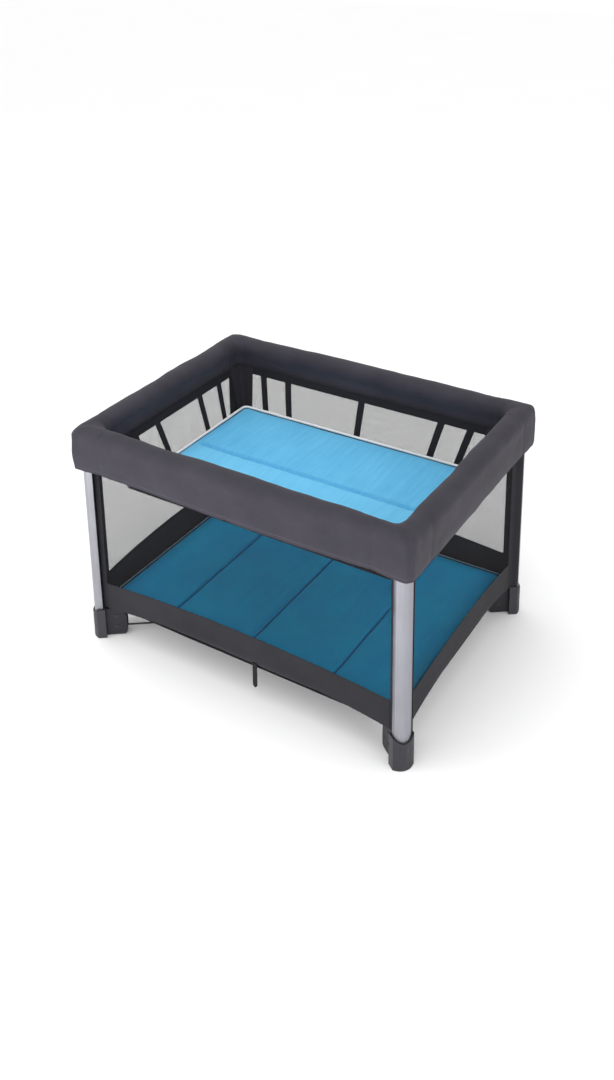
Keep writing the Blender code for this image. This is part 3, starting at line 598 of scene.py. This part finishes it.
def corner_cover(name, sx, sy):
    columns = 30

    def place(a, b):
        row = round(a * SECTION_ROWS)
        near = math.sin(math.pi * b)
        low = mix(SKIRT_Z, POCKET_Z, ease(near * 1.6))
        upright = 1 - ease((row - OUTER_ROWS) / 5)
        dip = seam_dip(min(b, 1 - b) * 2 * CORNER_LENGTH) + seam_dip((b - 0.5) * CORNER_LENGTH) * upright
        return cover_point(sx, sy, lambda w: corner_place(b, w - math.copysign(dip, w)), row, low, near)

    def cloth(a, b):
        return b * CORNER_CLOTH_LENGTH, CLOTH_ROWS[round(a * SECTION_ROWS)]

    mesh = grid_mesh(name, SECTION_ROWS, columns, place, cloth, flip=sx * sy < 0)
    piece = thicken(new_piece(name, mesh, COVER_CLOTH), COVER_THICKNESS)
    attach(piece, "leg_" + name_of(sx, sy))
    return piece


def name_of(sx, sy):
    return [name for name, signs in LEGS.items() if signs == (sx, sy)][0]


def side_cover(rail, way, sx, sy):
    length = (LEG_X if way == "x" else LEG_Y) - CORNER_LENGTH
    columns = max(12, round(length / 0.012))

    def place(a, b):
        row = round(a * SECTION_ROWS)
        near = ease((b - 0.75) / 0.25) * 0.6
        sag = 0.0040 * math.cos(b * math.pi / 2) if way == "x" else 0.002 * math.cos(b * math.pi / 2)
        notch = 0.004 * math.exp(-((b * length / 0.008) ** 2)) if way == "x" else 0.0
        low = SKIRT_Z - sag + notch
        dip = seam_dip((1 - b) * length)
        return cover_point(sx, sy, lambda w: side_place(way, b, w - math.copysign(dip, w)), row, low, near)

    def cloth(a, b):
        return b * length, CLOTH_ROWS[round(a * SECTION_ROWS)]

    flip = (sx * sy > 0) == (way == "x")
    mesh = grid_mesh("cover_skin_" + rail, SECTION_ROWS, columns, place, cloth, flip=not flip)
    piece = thicken(new_piece("cover_skin_" + rail, mesh, COVER_CLOTH), COVER_THICKNESS)
    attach(piece, "rail_" + rail)
    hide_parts("cover_" + rail)
    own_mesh(piece)
    return piece


RAILS = {
    "front_left": ("x", "front_left"),
    "front_right": ("x", "front_right"),
    "rear_left": ("x", "rear_left"),
    "rear_right": ("x", "rear_right"),
    "left_front": ("y", "front_left"),
    "left_rear": ("y", "rear_left"),
    "right_front": ("y", "front_right"),
    "right_rear": ("y", "rear_right"),
}

for rail, (way, leg) in RAILS.items():
    side_cover(rail, way, *LEGS[leg])

for leg, (sx, sy) in LEGS.items():
    corner_cover("corner_skin_" + leg, sx, sy)
    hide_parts("corner_fabric_" + leg)


# ---------------------------------------------------------------- net walls and cloth bands


def wall_half(name, way, sx, sy, low, high, finish, bow, cell=0.016, thickness=None, turned=0.0):
    """Half of a wall, from the strip beside a leg to the middle. low and high give its edges by share.

    The lowest share of its rows, turned, runs in from the lower edge to the cloth floor.
    """
    strip = STRIP_X if way == "x" else STRIP_Y
    length = (LEG_X if way == "x" else LEG_Y) - strip
    columns = max(8, round(length / cell))
    rows = max(3, round((high(0.5) - low(0.5)) / cell))

    reach = (LEG_Y - FLOOR_HIGH.y if way == "x" else LEG_X - FLOOR_HIGH.x) + 0.004

    def place(a, b):
        along = b * length
        inward = max(0.0, 1 - a / turned) if turned else 0.0
        a = max(0.0, a - turned) / (1 - turned)
        z = mix(mix(low(b), high(b), a), FLOOR_HIGH.z + 0.0012, inward)
        lift = math.sin(math.pi * min(1.0, max(0.0, (z - 0.1) / (WALL_TOP - 0.1))))
        out = -bow * lift * (1 - b ** 4) + ripple((sx * along, sy * 2.0, z), (5.0, 1.0, 5.0), 1.7) * 0.0016
        out -= 0.001 + reach * inward
        if way == "x":
            return Vector((sx * along, sy * (LEG_Y + out), z))
        return Vector((sx * (LEG_X + out), sy * along, z))

    def cloth(a, b):
        return b * length, mix(low(b), high(b), a) - low(b)

    mesh = grid_mesh(name, rows, columns, place, cloth, flip=(sx * sy > 0) == (way == "x"))
    piece = new_piece(name, mesh, finish)
    if thickness:
        thicken(piece, thickness, 0.0)
    leg = name_of(sx, sy)
    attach(piece, "leg_" + leg)
    fold = reach if turned else 0.0
    height = sum(high(i / 20) - low(i / 20) for i in range(21)) / 21 + fold
    tall = max(high(i / 20) - low(i / 20) for i in range(21)) + fold
    if way == "x":
        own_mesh(piece)
    else:
        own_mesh(piece)
    return piece


def band_low(b):
    return mix(BAND_MID_LOW, BAND_LEG_LOW, b ** 2.2)


def band_high(b):
    return mix(BAND_MID_HIGH, BAND_LEG_HIGH, b ** 2)


def corner_strip(sx, sy):
    """The dark cloth beside a leg, which passes behind it from one wall to the next."""
    strip_out, behind = 0.0018, TUBE_BACK + 0.0018
    along_x, along_y = LEG_X / DIAGONAL, LEG_Y / DIAGONAL
    long_turn = (behind * along_y - strip_out) / along_x  # along the tube's back, from its middle
    short_turn = (strip_out - behind * along_x) / along_y
    corner_x = LEG_X - behind * along_x - long_turn * along_y
    corner_y = LEG_Y - behind * along_y + short_turn * along_x
    long_edge, short_edge = LEG_Y - strip_out, LEG_X - strip_out
    path = [(mix(LEG_X - STRIP_X, corner_x, t), long_edge) for t in (0.0, 0.3, 0.6, 0.9)]
    path += [(mix(corner_x, short_edge, t), mix(long_edge, corner_y, t))
             for t in (0.03, 0.12, 0.5, 0.88, 0.97)]
    path += [(short_edge, mix(corner_y, LEG_Y - STRIP_Y, t)) for t in (0.06, 0.35, 0.7, 1.0)]
    steps = len(path) - 1
    low, high = BAND_LEG_LOW, WALL_TOP + 0.002
    rows = 30

    def place(a, b):
        x, y = path[round(b * steps)]
        return Vector((sx * x, sy * y, mix(low, high, a)))

    def cloth(a, b):
        return b * 0.11, a * (high - low)

    name = "corner_strip_" + name_of(sx, sy)
    mesh = grid_mesh(name, rows, steps, place, cloth, flip=sx * sy > 0)
    piece = new_piece(name, mesh, STRIP_CLOTH)
    width = sum(math.dist(path[i], path[i + 1]) for i in range(steps))
    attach(piece, "leg_" + name_of(sx, sy))
    return piece


def corner_flap(sx, sy):
    """The end of a short wall's cloth, which covers the leg's flat side up to its arched face."""
    off = 0.0026  # clear of the tube and of the strip behind it
    turn = math.atan2(LEG_Y, LEG_X)
    cos, sin = math.cos(turn), math.sin(turn)

    def beside(back_to_front, side):
        """A point of the leg's own section, in plan: X runs outward along the diagonal."""
        return LEG_X + back_to_front * cos + side * sin, LEG_Y + back_to_front * sin - side * cos

    corner = beside(-TUBE_BACK - off, TUBE_HALF + off)
    path = [(LEG_X - 0.001, LEG_Y - STRIP_Y)]
    path += [(mix(path[0][0], corner[0], t), mix(path[0][1], corner[1], t)) for t in (0.5, 0.96)]
    path += [beside(mix(-TUBE_BACK, TUBE_SHOULDER, t), TUBE_HALF + off) for t in (0.0, 0.33, 0.67, 1.0)]
    path += [beside(TUBE_SHOULDER + FLAP_ON_ARCH, TUBE_HALF + off - 0.8 * FLAP_ON_ARCH)]
    steps, rows = len(path) - 1, 30
    low, high = BAND_LEG_LOW, WALL_TOP + 0.002

    def place(a, b):
        x, y = path[round(b * steps)]
        return Vector((sx * x, sy * y, mix(low, high, a)))

    def cloth(a, b):
        return b * 0.06, a * (high - low)

    leg = name_of(sx, sy)
    mesh = grid_mesh("corner_flap_" + leg, rows, steps, place, cloth, flip=sx * sy > 0)
    piece = new_piece("corner_flap_" + leg, mesh, STRIP_CLOTH)
    width = sum(math.dist(path[i], path[i + 1]) for i in range(steps))
    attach(piece, "leg_" + leg)


for leg, (sx, sy) in LEGS.items():
    corner_strip(sx, sy)
    corner_flap(sx, sy)
    for way, side in (("x", "long"), ("y", "short")):
        wall_half(f"net_{side}_{leg}", way, sx, sy, lambda b: band_high(b) - 0.002, lambda b: WALL_TOP,
                  NET, 0.004)
        wall_half(f"band_{side}_{leg}", way, sx, sy, band_low, band_high, BAND_CLOTH, 0.0,
                  cell=0.010, thickness=FABRIC, turned=0.25)


def floor_wing(sx, sy):
    """A quarter of the cloth floor, which follows the arm below it."""
    half_x, half_y = FLOOR_HIGH.x, FLOOR_HIGH.y
    cut_x, cut_y = 0.045, 0.0375
    z = (FLOOR_LOW.z + FLOOR_HIGH.z) / 2

    def place(a, b):
        x, y = b * half_x, a * half_y
        over = max(0.0, (x - half_x + cut_x) / cut_x + (y - half_y + cut_y) / cut_y - 1)
        x -= over * cut_x / 2
        y -= over * cut_y / 2
        near = math.hypot(x, y)
        if near < 0.036 and near > 1e-6:
            x, y = x / near * 0.036, y / near * 0.036
        elif near <= 1e-6:
            x, y = 0.026, 0.025
        sag = ripple((sx * x, sy * y, 0), (9.0, 9.0, 1.0)) * 0.0008
        return Vector((sx * x, sy * y, z + sag))

    def cloth(a, b):
        return b * half_x, a * half_y

    leg = name_of(sx, sy)
    mesh = grid_mesh("floor_wing_" + leg, 22, 30, place, cloth, flip=sx * sy < 0)
    piece = thicken(new_piece("floor_wing_" + leg, mesh, LINING), 0.0015, 0.0)
    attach(piece, "arm_" + leg)
    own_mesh(piece)
    return piece


for leg, (sx, sy) in LEGS.items():
    wing = floor_wing(sx, sy)
    if leg == "rear_left":
        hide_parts("floor_fabric")


def hanging_loop():
    """A doubled tape that hangs from the front band, with a rounded turned-up end."""
    middle_x = (STRAP_LOW.x + STRAP_HIGH.x) / 2
    half = (STRAP_HIGH.x - STRAP_LOW.x) / 2
    middle_y = (STRAP_LOW.y + STRAP_HIGH.y) / 2
    low, high = STRAP_LOW.z, STRAP_HIGH.z

    def place(a, b):
        around = 2 * math.pi * a
        drop = b * (high - low)
        narrow = math.sqrt(max(0.0, 1 - max(0.0, 1 - drop / half) ** 2)) if drop < half else 1.0
        side = math.copysign(abs(math.cos(around)) ** 0.4, math.cos(around))
        thick = math.copysign(abs(math.sin(around)) ** 0.6, math.sin(around))
        lean = -0.004 * (1 - b) ** 2
        return Vector((middle_x + side * half * max(0.25, narrow) + 0.002 * (1 - b) ** 2,
                       middle_y + thick * 0.0013 + lean, low + drop))

    def cloth(a, b):
        return a * 4 * half, b * (high - low)

    mesh = grid_mesh("hanging_loop", 20, 16, place, cloth, around=True)
    shape = bmesh.new()
    shape.from_mesh(mesh)
    bmesh.ops.holes_fill(shape, edges=[e for e in shape.edges if e.is_boundary])
    bmesh.ops.recalc_face_normals(shape, faces=shape.faces)
    shape.to_mesh(mesh)
    shape.free()
    piece = new_piece("hanging_loop", mesh, WEBBING)
    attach(piece, "leg_front_right")
    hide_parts("hanging_strap")
    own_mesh(piece)


hanging_loop()


# ---------------------------------------------------------------- mattress and bassinet pad


def rounded_slab(name, low, high, radius):
    """A box with rounded edges, as the start of a stuffed panel."""
    shape = bmesh.new()
    bmesh.ops.create_cube(shape, size=1.0)
    size = Vector(high) - Vector(low)
    bmesh.ops.scale(shape, vec=size, verts=shape.verts)
    bmesh.ops.translate(shape, vec=(Vector(low) + Vector(high)) / 2, verts=shape.verts)
    bmesh.ops.bevel(shape, geom=list(shape.edges), offset=radius, segments=3, profile=0.6, affect="EDGES")
    mesh = bpy.data.meshes.new(name)
    shape.to_mesh(mesh)
    shape.free()
    return new_piece(name, mesh)


def puff_up(piece, cap, voxel=0.0065, pressure=4.0, rest_z=None):
    """Lets a panel swell under air pressure as cloth, no further than cap, and leaves its base flat."""
    remesh = piece.modifiers.new("remesh", "REMESH")
    remesh.mode = "VOXEL"
    remesh.voxel_size = voxel
    settle(piece)
    before = np.empty(len(piece.data.vertices) * 3)
    piece.data.vertices.foreach_get("co", before)
    cloth = piece.modifiers.new("cloth", "CLOTH")
    cloth.settings.quality = 4
    cloth.settings.mass = 0.3
    cloth.settings.use_pressure = True
    cloth.settings.uniform_pressure_force = pressure
    cloth.settings.effector_weights.gravity = 0.0
    cloth.settings.tension_stiffness = 20
    cloth.settings.compression_stiffness = 20
    cloth.settings.shear_stiffness = 8
    cloth.settings.bending_stiffness = 0.6
    for step in range(1, 21):
        bpy.context.scene.frame_set(step)
    settle(piece)
    bpy.context.scene.frame_set(1)
    after = np.empty(len(piece.data.vertices) * 3)
    piece.data.vertices.foreach_get("co", after)
    moved = (after - before).reshape(-1, 3)
    length = np.maximum(np.linalg.norm(moved, axis=1), 1e-9)
    moved *= np.minimum(1.0, cap / length)[:, None]
    points = before.reshape(-1, 3) + moved
    if rest_z is not None:
        points[:, 2] = np.maximum(points[:, 2], rest_z)
    piece.data.vertices.foreach_set("co", points.ravel())
    piece.data.update()
    piece.data.shade_smooth()
    return piece


def pucker(piece, seams, top, along_axis, depth=0.0012, reach=0.035):
    """Small gathers that run out from each seam, and slow undulation over the whole top."""
    for vert in piece.data.vertices:
        x, y, z = vert.co
        if z < top - 0.02:
            continue
        place, other = (x, y) if along_axis == "x" else (y, x)
        near = min(abs(place - seam) for seam in seams)
        gathers = ripple((other, 0.0, round(place * 3)), (55.0, 1.0, 2.0)) * depth * math.exp(-near / reach)
        slow = ripple((x, y, 0), (6.0, 6.0, 1.0), 2.0) * 0.0012
        vert.co.z = min(z + gathers + slow, top)
    piece.data.update()


def outline_points(half_x, half_y, radius, z, wobble=0.0008, step=0.01):
    """A closed rounded rectangle of piping."""
    points = []
    for quarter in range(4):
        angle = math.pi / 2 * quarter
        centre = Vector(((half_x - radius) * (1 if quarter in (0, 3) else -1),
                         (half_y - radius) * (1 if quarter in (0, 1) else -1)))
        for i in range(7):
            turn = angle + math.pi / 2 * i / 6
            points.append((centre.x + radius * math.cos(turn), centre.y + radius * math.sin(turn)))
    filled = []
    for a, b in zip(points, points[1:] + points[:1]):
        steps = max(1, round(math.dist(a, b) / step))
        filled += [(mix(a[0], b[0], i / steps), mix(a[1], b[1], i / steps)) for i in range(steps)]
    return [(x, y, z + ripple((x, y, 0), (15.0, 15.0, 1.0)) * wobble) for x, y in filled]


def seam_wander(way):
    """How far a seam strays from its straight line, at a distance along it."""
    return ripple((way, 0, 0), (9.0, 1.0, 1.0), 6.2) * 0.0015


def press_seam(piece, axis, place, depth, width, half_length, top):
    """Presses a soft groove into a panel's top along "x" or "y", which fades before the panel's ends."""
    across_of = (lambda vert: vert.co.y) if axis == "x" else (lambda vert: vert.co.x)
    shape = bmesh.new()
    shape.from_mesh(piece.data)
    beside = {v for v in shape.verts if v.co.z > top - 0.014 and abs(across_of(v) - place) < 3 * width}
    edges = [edge for edge in shape.edges if beside.issuperset(edge.verts)]
    bmesh.ops.subdivide_edges(shape, edges=edges, cuts=1, use_grid_fill=True)
    for vert in shape.verts:
        way = vert.co.x if axis == "x" else vert.co.y
        if vert.co.z > top - 0.014:
            fade = ease((half_length - abs(way)) / 0.03)
            off = (across_of(vert) - place - seam_wander(way)) / width
            vert.co.z -= depth * fade * math.exp(-off * off)
    shape.to_mesh(piece.data)
    shape.free()
    piece.data.shade_smooth()


def thread_and_groove_shade(name, axis, place, half_length, z, radius, finish):
    """The sewing thread at the bottom of a groove: a thick dark cord that is partly the thread and partly
    painted shade in the groove.
    """
    points = []
    for way in np.linspace(-half_length, half_length, 80):
        across = place + seam_wander(way)
        points.append((way, across, z) if axis == "x" else (across, way, z))
    return tube_along(name, points, radius, finish)


MATTRESS_SEAMS = (-0.270, 0.0, 0.270)
MATTRESS_GROOVE = 0.0090  # depth of a seam below the mattress's top
PAD_FOLD_AT, PAD_GROOVE = 0.002, 0.0120
PANEL_EDGE = 0.0055


def mattress():
    top = MATTRESS_HIGH.z
    low = (MATTRESS_LOW.x + PANEL_EDGE, MATTRESS_LOW.y + PANEL_EDGE, MATTRESS_LOW.z + 0.002)
    high = (MATTRESS_HIGH.x - PANEL_EDGE, MATTRESS_HIGH.y - PANEL_EDGE, top - PANEL_EDGE)
    piece = puff_up(rounded_slab("mattress", low, high, 0.008), 0.005, rest_z=MATTRESS_LOW.z)
    piece.data.materials.append(MATTRESS_KNIT)
    pucker(piece, MATTRESS_SEAMS, top, "x")
    seam_half = MATTRESS_HIGH.y - 0.008
    for seam in MATTRESS_SEAMS:
        press_seam(piece, "y", seam, MATTRESS_GROOVE, 0.0060, seam_half, top)
    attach(piece, "mattress")
    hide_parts("mattress_pad")
    half_x, half_y = MATTRESS_HIGH.x - 0.0022, MATTRESS_HIGH.y - 0.0022
    piping = tube_along("mattress_piping", outline_points(half_x, half_y, 0.016, top - 0.010), 0.0018,
                        BLUE_PIPING, closed=True)
    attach(piping, "mattress")
    for index, seam in enumerate(MATTRESS_SEAMS):
        # a dark cord along each groove: seam thread and painted shade of the groove
        thread = thread_and_groove_shade(f"mattress_seam_{index + 1}", "y", seam, seam_half - 0.02, top - 0.0078, 0.0019,
                             GROOVE_SHADE_THREAD)
        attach(thread, "mattress")


def bassinet_pad():
    top = PAD_HIGH.z
    low = (PAD_LOW.x + PANEL_EDGE, PAD_LOW.y + PANEL_EDGE, PAD_LOW.z + 0.002)
    high = (PAD_HIGH.x - PANEL_EDGE, PAD_HIGH.y - PANEL_EDGE, top - 0.0055)
    piece = puff_up(rounded_slab("bassinet_mattress", low, high, 0.007), 0.005, rest_z=PAD_LOW.z)
    piece.data.materials.append(PAD_KNIT)
    pucker(piece, (0.0,), top, "y")
    seam_half = PAD_HIGH.x - 0.012
    press_seam(piece, "x", PAD_FOLD_AT, PAD_GROOVE, 0.0075, seam_half, top)
    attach(piece, "bassinet")
    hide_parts("bassinet_pad")
    outline = outline_points(PAD_HIGH.x - 0.0062, PAD_HIGH.y - 0.0062, 0.016, top - 0.0040)
    piping = tube_along("bassinet_piping", outline, 0.0040, WHITE_PIPING, closed=True)
    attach(piping, "bassinet")
    # a dark cord along the fold: seam thread and painted shade of the fold
    seam = thread_and_groove_shade("bassinet_fold_seam", "x", PAD_FOLD_AT, seam_half - 0.02, top - 0.0112, 0.0016,
                       FOLD_SHADE_THREAD)
    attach(seam, "bassinet")


mattress()
bassinet_pad()


# ---------------------------------------------------------------- bassinet tub and webbing


STRAPS_LONG = (-0.38, -0.28, 0.0, 0.28, 0.38)  # strap places along each long wall
STRAPS_SHORT = (-0.215, -0.110, 0.110, 0.215)  # and along each short wall
STRAP_HALF = 0.0120
RIM_BAND = 0.021  # height of the dark band round the tub's rim, in front of the cover's flap
TUB_BOTTOM = (PAD_HIGH.x + 0.008, PAD_HIGH.y + 0.0075)
TUB_CORNER = 0.055  # width of the dark corner cloth on each side of a tub corner
CORNER_CLOTH_IN = 0.0032  # this cloth's distance from the walls
STRAP_IN, TAPE_IN = 0.0034, 0.0028  # the same for the straps and the rim's band


def tub_place(side, sign, along, z, inside):
    """A point on a sloping tub wall: side "x" is a long wall, inside is its distance from the wall."""
    t = (z - TUB_LOW.z) / (TUB_HIGH.z - TUB_LOW.z)
    out_x = mix(TUB_BOTTOM[0], TUB_HIGH.x, t)
    out_y = mix(TUB_BOTTOM[1], TUB_HIGH.y, t)
    if side == "x":
        return Vector((along * out_x, sign * (out_y - inside), z))
    return Vector((sign * (out_x - inside), along * out_y, z))


def wall_wrinkle(side, sign, along, z, places):
    """The net pulls in towards each strap and bellies between them."""
    half = TUB_HIGH.x if side == "x" else TUB_HIGH.y
    near = min(abs(along * half - place) for place in places)
    belly = 1 - math.exp(-near / 0.03)
    height = math.sin(math.pi * (z - TUB_LOW.z) / (TUB_HIGH.z - TUB_LOW.z))
    folds = ripple((along * half, sign * 3.0, z), (26.0, 1.0, 9.0), 4.4)
    return (0.0015 + 0.0018 * folds) * belly * height


def tub_wall(side, sign):
    places = STRAPS_LONG if side == "x" else STRAPS_SHORT
    half = TUB_HIGH.x if side == "x" else TUB_HIGH.y
    columns, rows = round(2 * half / 0.010), 16

    def place(a, b):
        along, z = 2 * b - 1, mix(TUB_LOW.z, TUB_HIGH.z, a)
        return tub_place(side, sign, along * 0.9995, z, 0.0005 + wall_wrinkle(side, sign, along, z, places))

    def cloth(a, b):
        return (2 * b - 1) * half, a * (TUB_HIGH.z - TUB_LOW.z)

    name = f"tub_net_{'long' if side == 'x' else 'short'}_{'rear' if sign > 0 else 'front'}"
    if side == "y":
        name = f"tub_net_short_{'right' if sign > 0 else 'left'}"
    mesh = grid_mesh(name, rows, columns, place, cloth, flip=(side == "x") == (sign > 0))
    piece = new_piece(name, mesh, TUB_NET)
    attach(piece, "bassinet")
    return piece


def tub_base():
    """The cloth under the pad."""
    def place(a, b):
        x, y = (2 * b - 1) * TUB_BOTTOM[0], (2 * a - 1) * TUB_BOTTOM[1]
        return Vector((x, y, TUB_LOW.z + 0.0007 + ripple((x, y, 0), (8.0, 8.0, 1.0)) * 0.0003))

    def cloth(a, b):
        return b * 2 * TUB_BOTTOM[0], a * 2 * TUB_BOTTOM[1]

    mesh = grid_mesh("tub_base", 30, 40, place, cloth)
    piece = thicken(new_piece("tub_base", mesh, LINING), 0.0012, 0.0)
    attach(piece, "bassinet")
    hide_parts("bassinet_tub")


def strip_mesh(name, rows, place, width, length):
    """A flat tape, two columns wide on each side of its centre line."""
    def cloth(a, b):
        return b * width, a * length

    return grid_mesh(name, rows, 4, place, cloth)


def webbing():
    """Straps up the tub's walls and the tape round its rim, as meshes to be joined into one piece."""
    meshes = []
    low, high = PAD_HIGH.z - 0.012, TUB_HIGH.z - 0.004
    for side, places in (("x", STRAPS_LONG), ("y", STRAPS_SHORT)):
        half = TUB_HIGH.x if side == "x" else TUB_HIGH.y
        for sign in (-1, 1):
            for middle in places:
                def strap(a, b, middle=middle, side=side, sign=sign, half=half):
                    z = mix(low, high, a)
                    lean = ripple((middle * 7, sign, z), (1.0, 1.0, 6.0)) * 0.003
                    across = (b - 0.5) * 2 * STRAP_HALF
                    bend = 0.6 + ripple((middle, z, sign), (5, 14, 1))
                    buckle = 0.0012 * math.cos(math.pi * (b - 0.5)) * bend
                    return tub_place(side, sign, (middle + across + lean) / half, z, STRAP_IN + buckle)

                meshes.append(strip_mesh("strap", 14, strap, 2 * STRAP_HALF, high - low))
            def tape(a, b, side=side, sign=sign):
                z = mix(TUB_HIGH.z - RIM_BAND, TUB_HIGH.z, b)
                return tub_place(side, sign, (2 * a - 1) * 0.992, z, TAPE_IN)

            meshes.append(strip_mesh("tape", 60, tape, RIM_BAND, 2 * half))
    return meshes


def tub_corner(sx, sy):
    """Dark cloth over a corner of the tub, wider at its top, gathered a little."""
    rows, columns = 14, 16

    def place(a, b):
        z = mix(PAD_HIGH.z - 0.012, TUB_HIGH.z, a)
        width = mix(0.034, TUB_CORNER, a)
        t = (z - TUB_LOW.z) / (TUB_HIGH.z - TUB_LOW.z)
        out_x = mix(TUB_BOTTOM[0], TUB_HIGH.x, t) - CORNER_CLOTH_IN
        out_y = mix(TUB_BOTTOM[1], TUB_HIGH.y, t) - CORNER_CLOTH_IN
        radius = 0.014
        reach = (2 * b - 1) * width
        fold = ripple((b * 3, z, sx + 2 * sy), (3.0, 12.0, 1.0)) * 0.0022 * math.sin(math.pi * b)
        if abs(reach) <= radius:
            angle = math.pi / 4 * (1 + reach / radius)
            x = out_x - radius + (radius - fold) * math.sin(angle)
            y = out_y - radius + (radius - fold) * math.cos(angle)
        elif reach > 0:
            x, y = out_x - abs(fold), out_y - reach
        else:
            x, y = out_x + reach, out_y - abs(fold)
        return Vector((sx * x, sy * y, z))

    def cloth(a, b):
        return b * 2 * TUB_CORNER, a * (TUB_HIGH.z - PAD_HIGH.z)

    return grid_mesh("tub_corner", rows, columns, place, cloth, flip=sx * sy < 0)


def join_meshes(name, meshes, finish, thickness):
    shape = bmesh.new()
    for mesh in meshes:
        shape.from_mesh(mesh)
    mesh = bpy.data.meshes.new(name)
    shape.to_mesh(mesh)
    shape.free()
    return thicken(new_piece(name, mesh, finish), thickness, 0.0)


for side, sign in (("x", -1), ("x", 1), ("y", -1), ("y", 1)):
    tub_wall(side, sign)
tub_base()
tapes = join_meshes("bassinet_webbing_tapes", webbing(), WEBBING, 0.0011)
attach(tapes, "bassinet")
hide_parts("bassinet_webbing")
corner_cloth = join_meshes("bassinet_corner_cloth", [tub_corner(sx, sy) for sx, sy in LEGS.values()],
                           STRIP_CLOTH, 0.001)
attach(corner_cloth, "bassinet")


# ---------------------------------------------------------------- legs, feet and frame


TUBE_WALL = 0.0015
RIBS = 11
RIB_DEPTH = 0.00055


def tube_outline(inset, ribbed):
    """The leg's D section from one back corner round the arched face to the other."""
    radius = (TUBE_HALF ** 2 + TUBE_BULGE ** 2) / (2 * TUBE_BULGE)
    centre = TUBE_SHOULDER + TUBE_BULGE - radius
    reach = math.asin(TUBE_HALF / radius)
    steps = RIBS * 8
    front = []
    for i in range(steps + 1):
        t = i / steps
        angle = mix(-reach, reach, t) * 0.985
        groove = RIB_DEPTH * max(0.0, math.cos(2 * math.pi * RIBS * t)) ** 3 if ribbed else 0.0
        r = radius - inset - groove
        front.append((centre + r * math.cos(angle), r * math.sin(angle)))
    half, back = TUBE_HALF - inset, -TUBE_BACK + inset
    corner = []
    for sign in (1, -1):
        turn = [(back + 0.003 * (1 - math.sin(a)), sign * (half - 0.003 * (1 - math.cos(a))))
                for a in (math.pi / 2 * k / 4 for k in range(5))]
        corner.append(turn)
    right_back = [(x, y) for x, y in corner[0]]
    left_back = [(x, y) for x, y in reversed(corner[1])]
    return front + [(mix(front[-1][0], back + 0.003, 0.5), half)] + right_back + left_back + [
        (mix(front[0][0], back + 0.003, 0.5), -half)]


def leg_profile(leg, sx, sy):
    """An extruded tube with fine ribs down its arched face."""
    outer, inner = tube_outline(0.0, True), tube_outline(TUBE_WALL, False)
    turn = math.atan2(sy * LEG_Y, sx * LEG_X)
    here = Matrix.Translation((sx * LEG_X, sy * LEG_Y, 0)) @ Matrix.Rotation(turn, 4, "Z")
    low, high = TUBE_LOW.z, TUBE_HIGH.z
    shape = bmesh.new()
    loops = []
    levels = (low, low + 0.14, low + 0.31, low + 0.47, high)
    for outline in (outer, inner):
        for z in levels:
            loops.append([shape.verts.new(here @ Vector((x, y, z))) for x, y in outline])
    count, rings = len(outer), len(levels)
    for i in range(count):
        j = (i + 1) % count
        for k in range(rings - 1):
            shape.faces.new((loops[k][i], loops[k][j], loops[k + 1][j], loops[k + 1][i]))
            near, far = loops[rings + k], loops[rings + k + 1]
            shape.faces.new((near[j], near[i], far[i], far[j]))
        shape.faces.new((loops[0][j], loops[0][i], loops[rings][i], loops[rings][j]))
        shape.faces.new((loops[rings - 1][i], loops[rings - 1][j], loops[-1][j], loops[-1][i]))
    bmesh.ops.recalc_face_normals(shape, faces=shape.faces)
    mesh = bpy.data.meshes.new("leg_profile_" + leg)
    shape.to_mesh(mesh)
    shape.free()
    mesh.shade_smooth()
    mesh.set_sharp_from_angle(angle=math.radians(50))
    piece = new_piece("leg_profile_" + leg, mesh, ALUMINIUM)
    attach(piece, "leg_" + leg)
    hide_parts("leg_tube_" + leg)


for leg, (sx, sy) in LEGS.items():
    leg_profile(leg, sx, sy)


def finish_for(node):
    if node.startswith(("arm_", "link_", "rail_", "bassinet_bar")):
        return STEEL
    if node.startswith("mattress_board"):
        return BOARD
    return PLASTIC


def soften_edges(node, width):
    """Small moulding radii on a plastic part; its own mesh stays as packed."""
    weld = node.modifiers.new("weld", "WELD")
    weld.merge_threshold = 0.00002
    bevel = node.modifiers.new("radii", "BEVEL")
    bevel.width = width
    bevel.segments = 2
    bevel.limit_method = "ANGLE"
    bevel.angle_limit = math.radians(35)
    bevel.harden_normals = False
    bevel.use_clamp_overlap = True
    weighted = node.modifiers.new("shading", "WEIGHTED_NORMAL")
    weighted.keep_sharp = True


for name, node in frame["nodes"].items():
    if node.hide_render:
        continue
    node.data.materials.clear()
    node.data.materials.append(finish_for(name))
    if name.startswith(("foot_", "corner_bracket", "mid_joint", "hub_")):
        soften_edges(node, 0.0009)
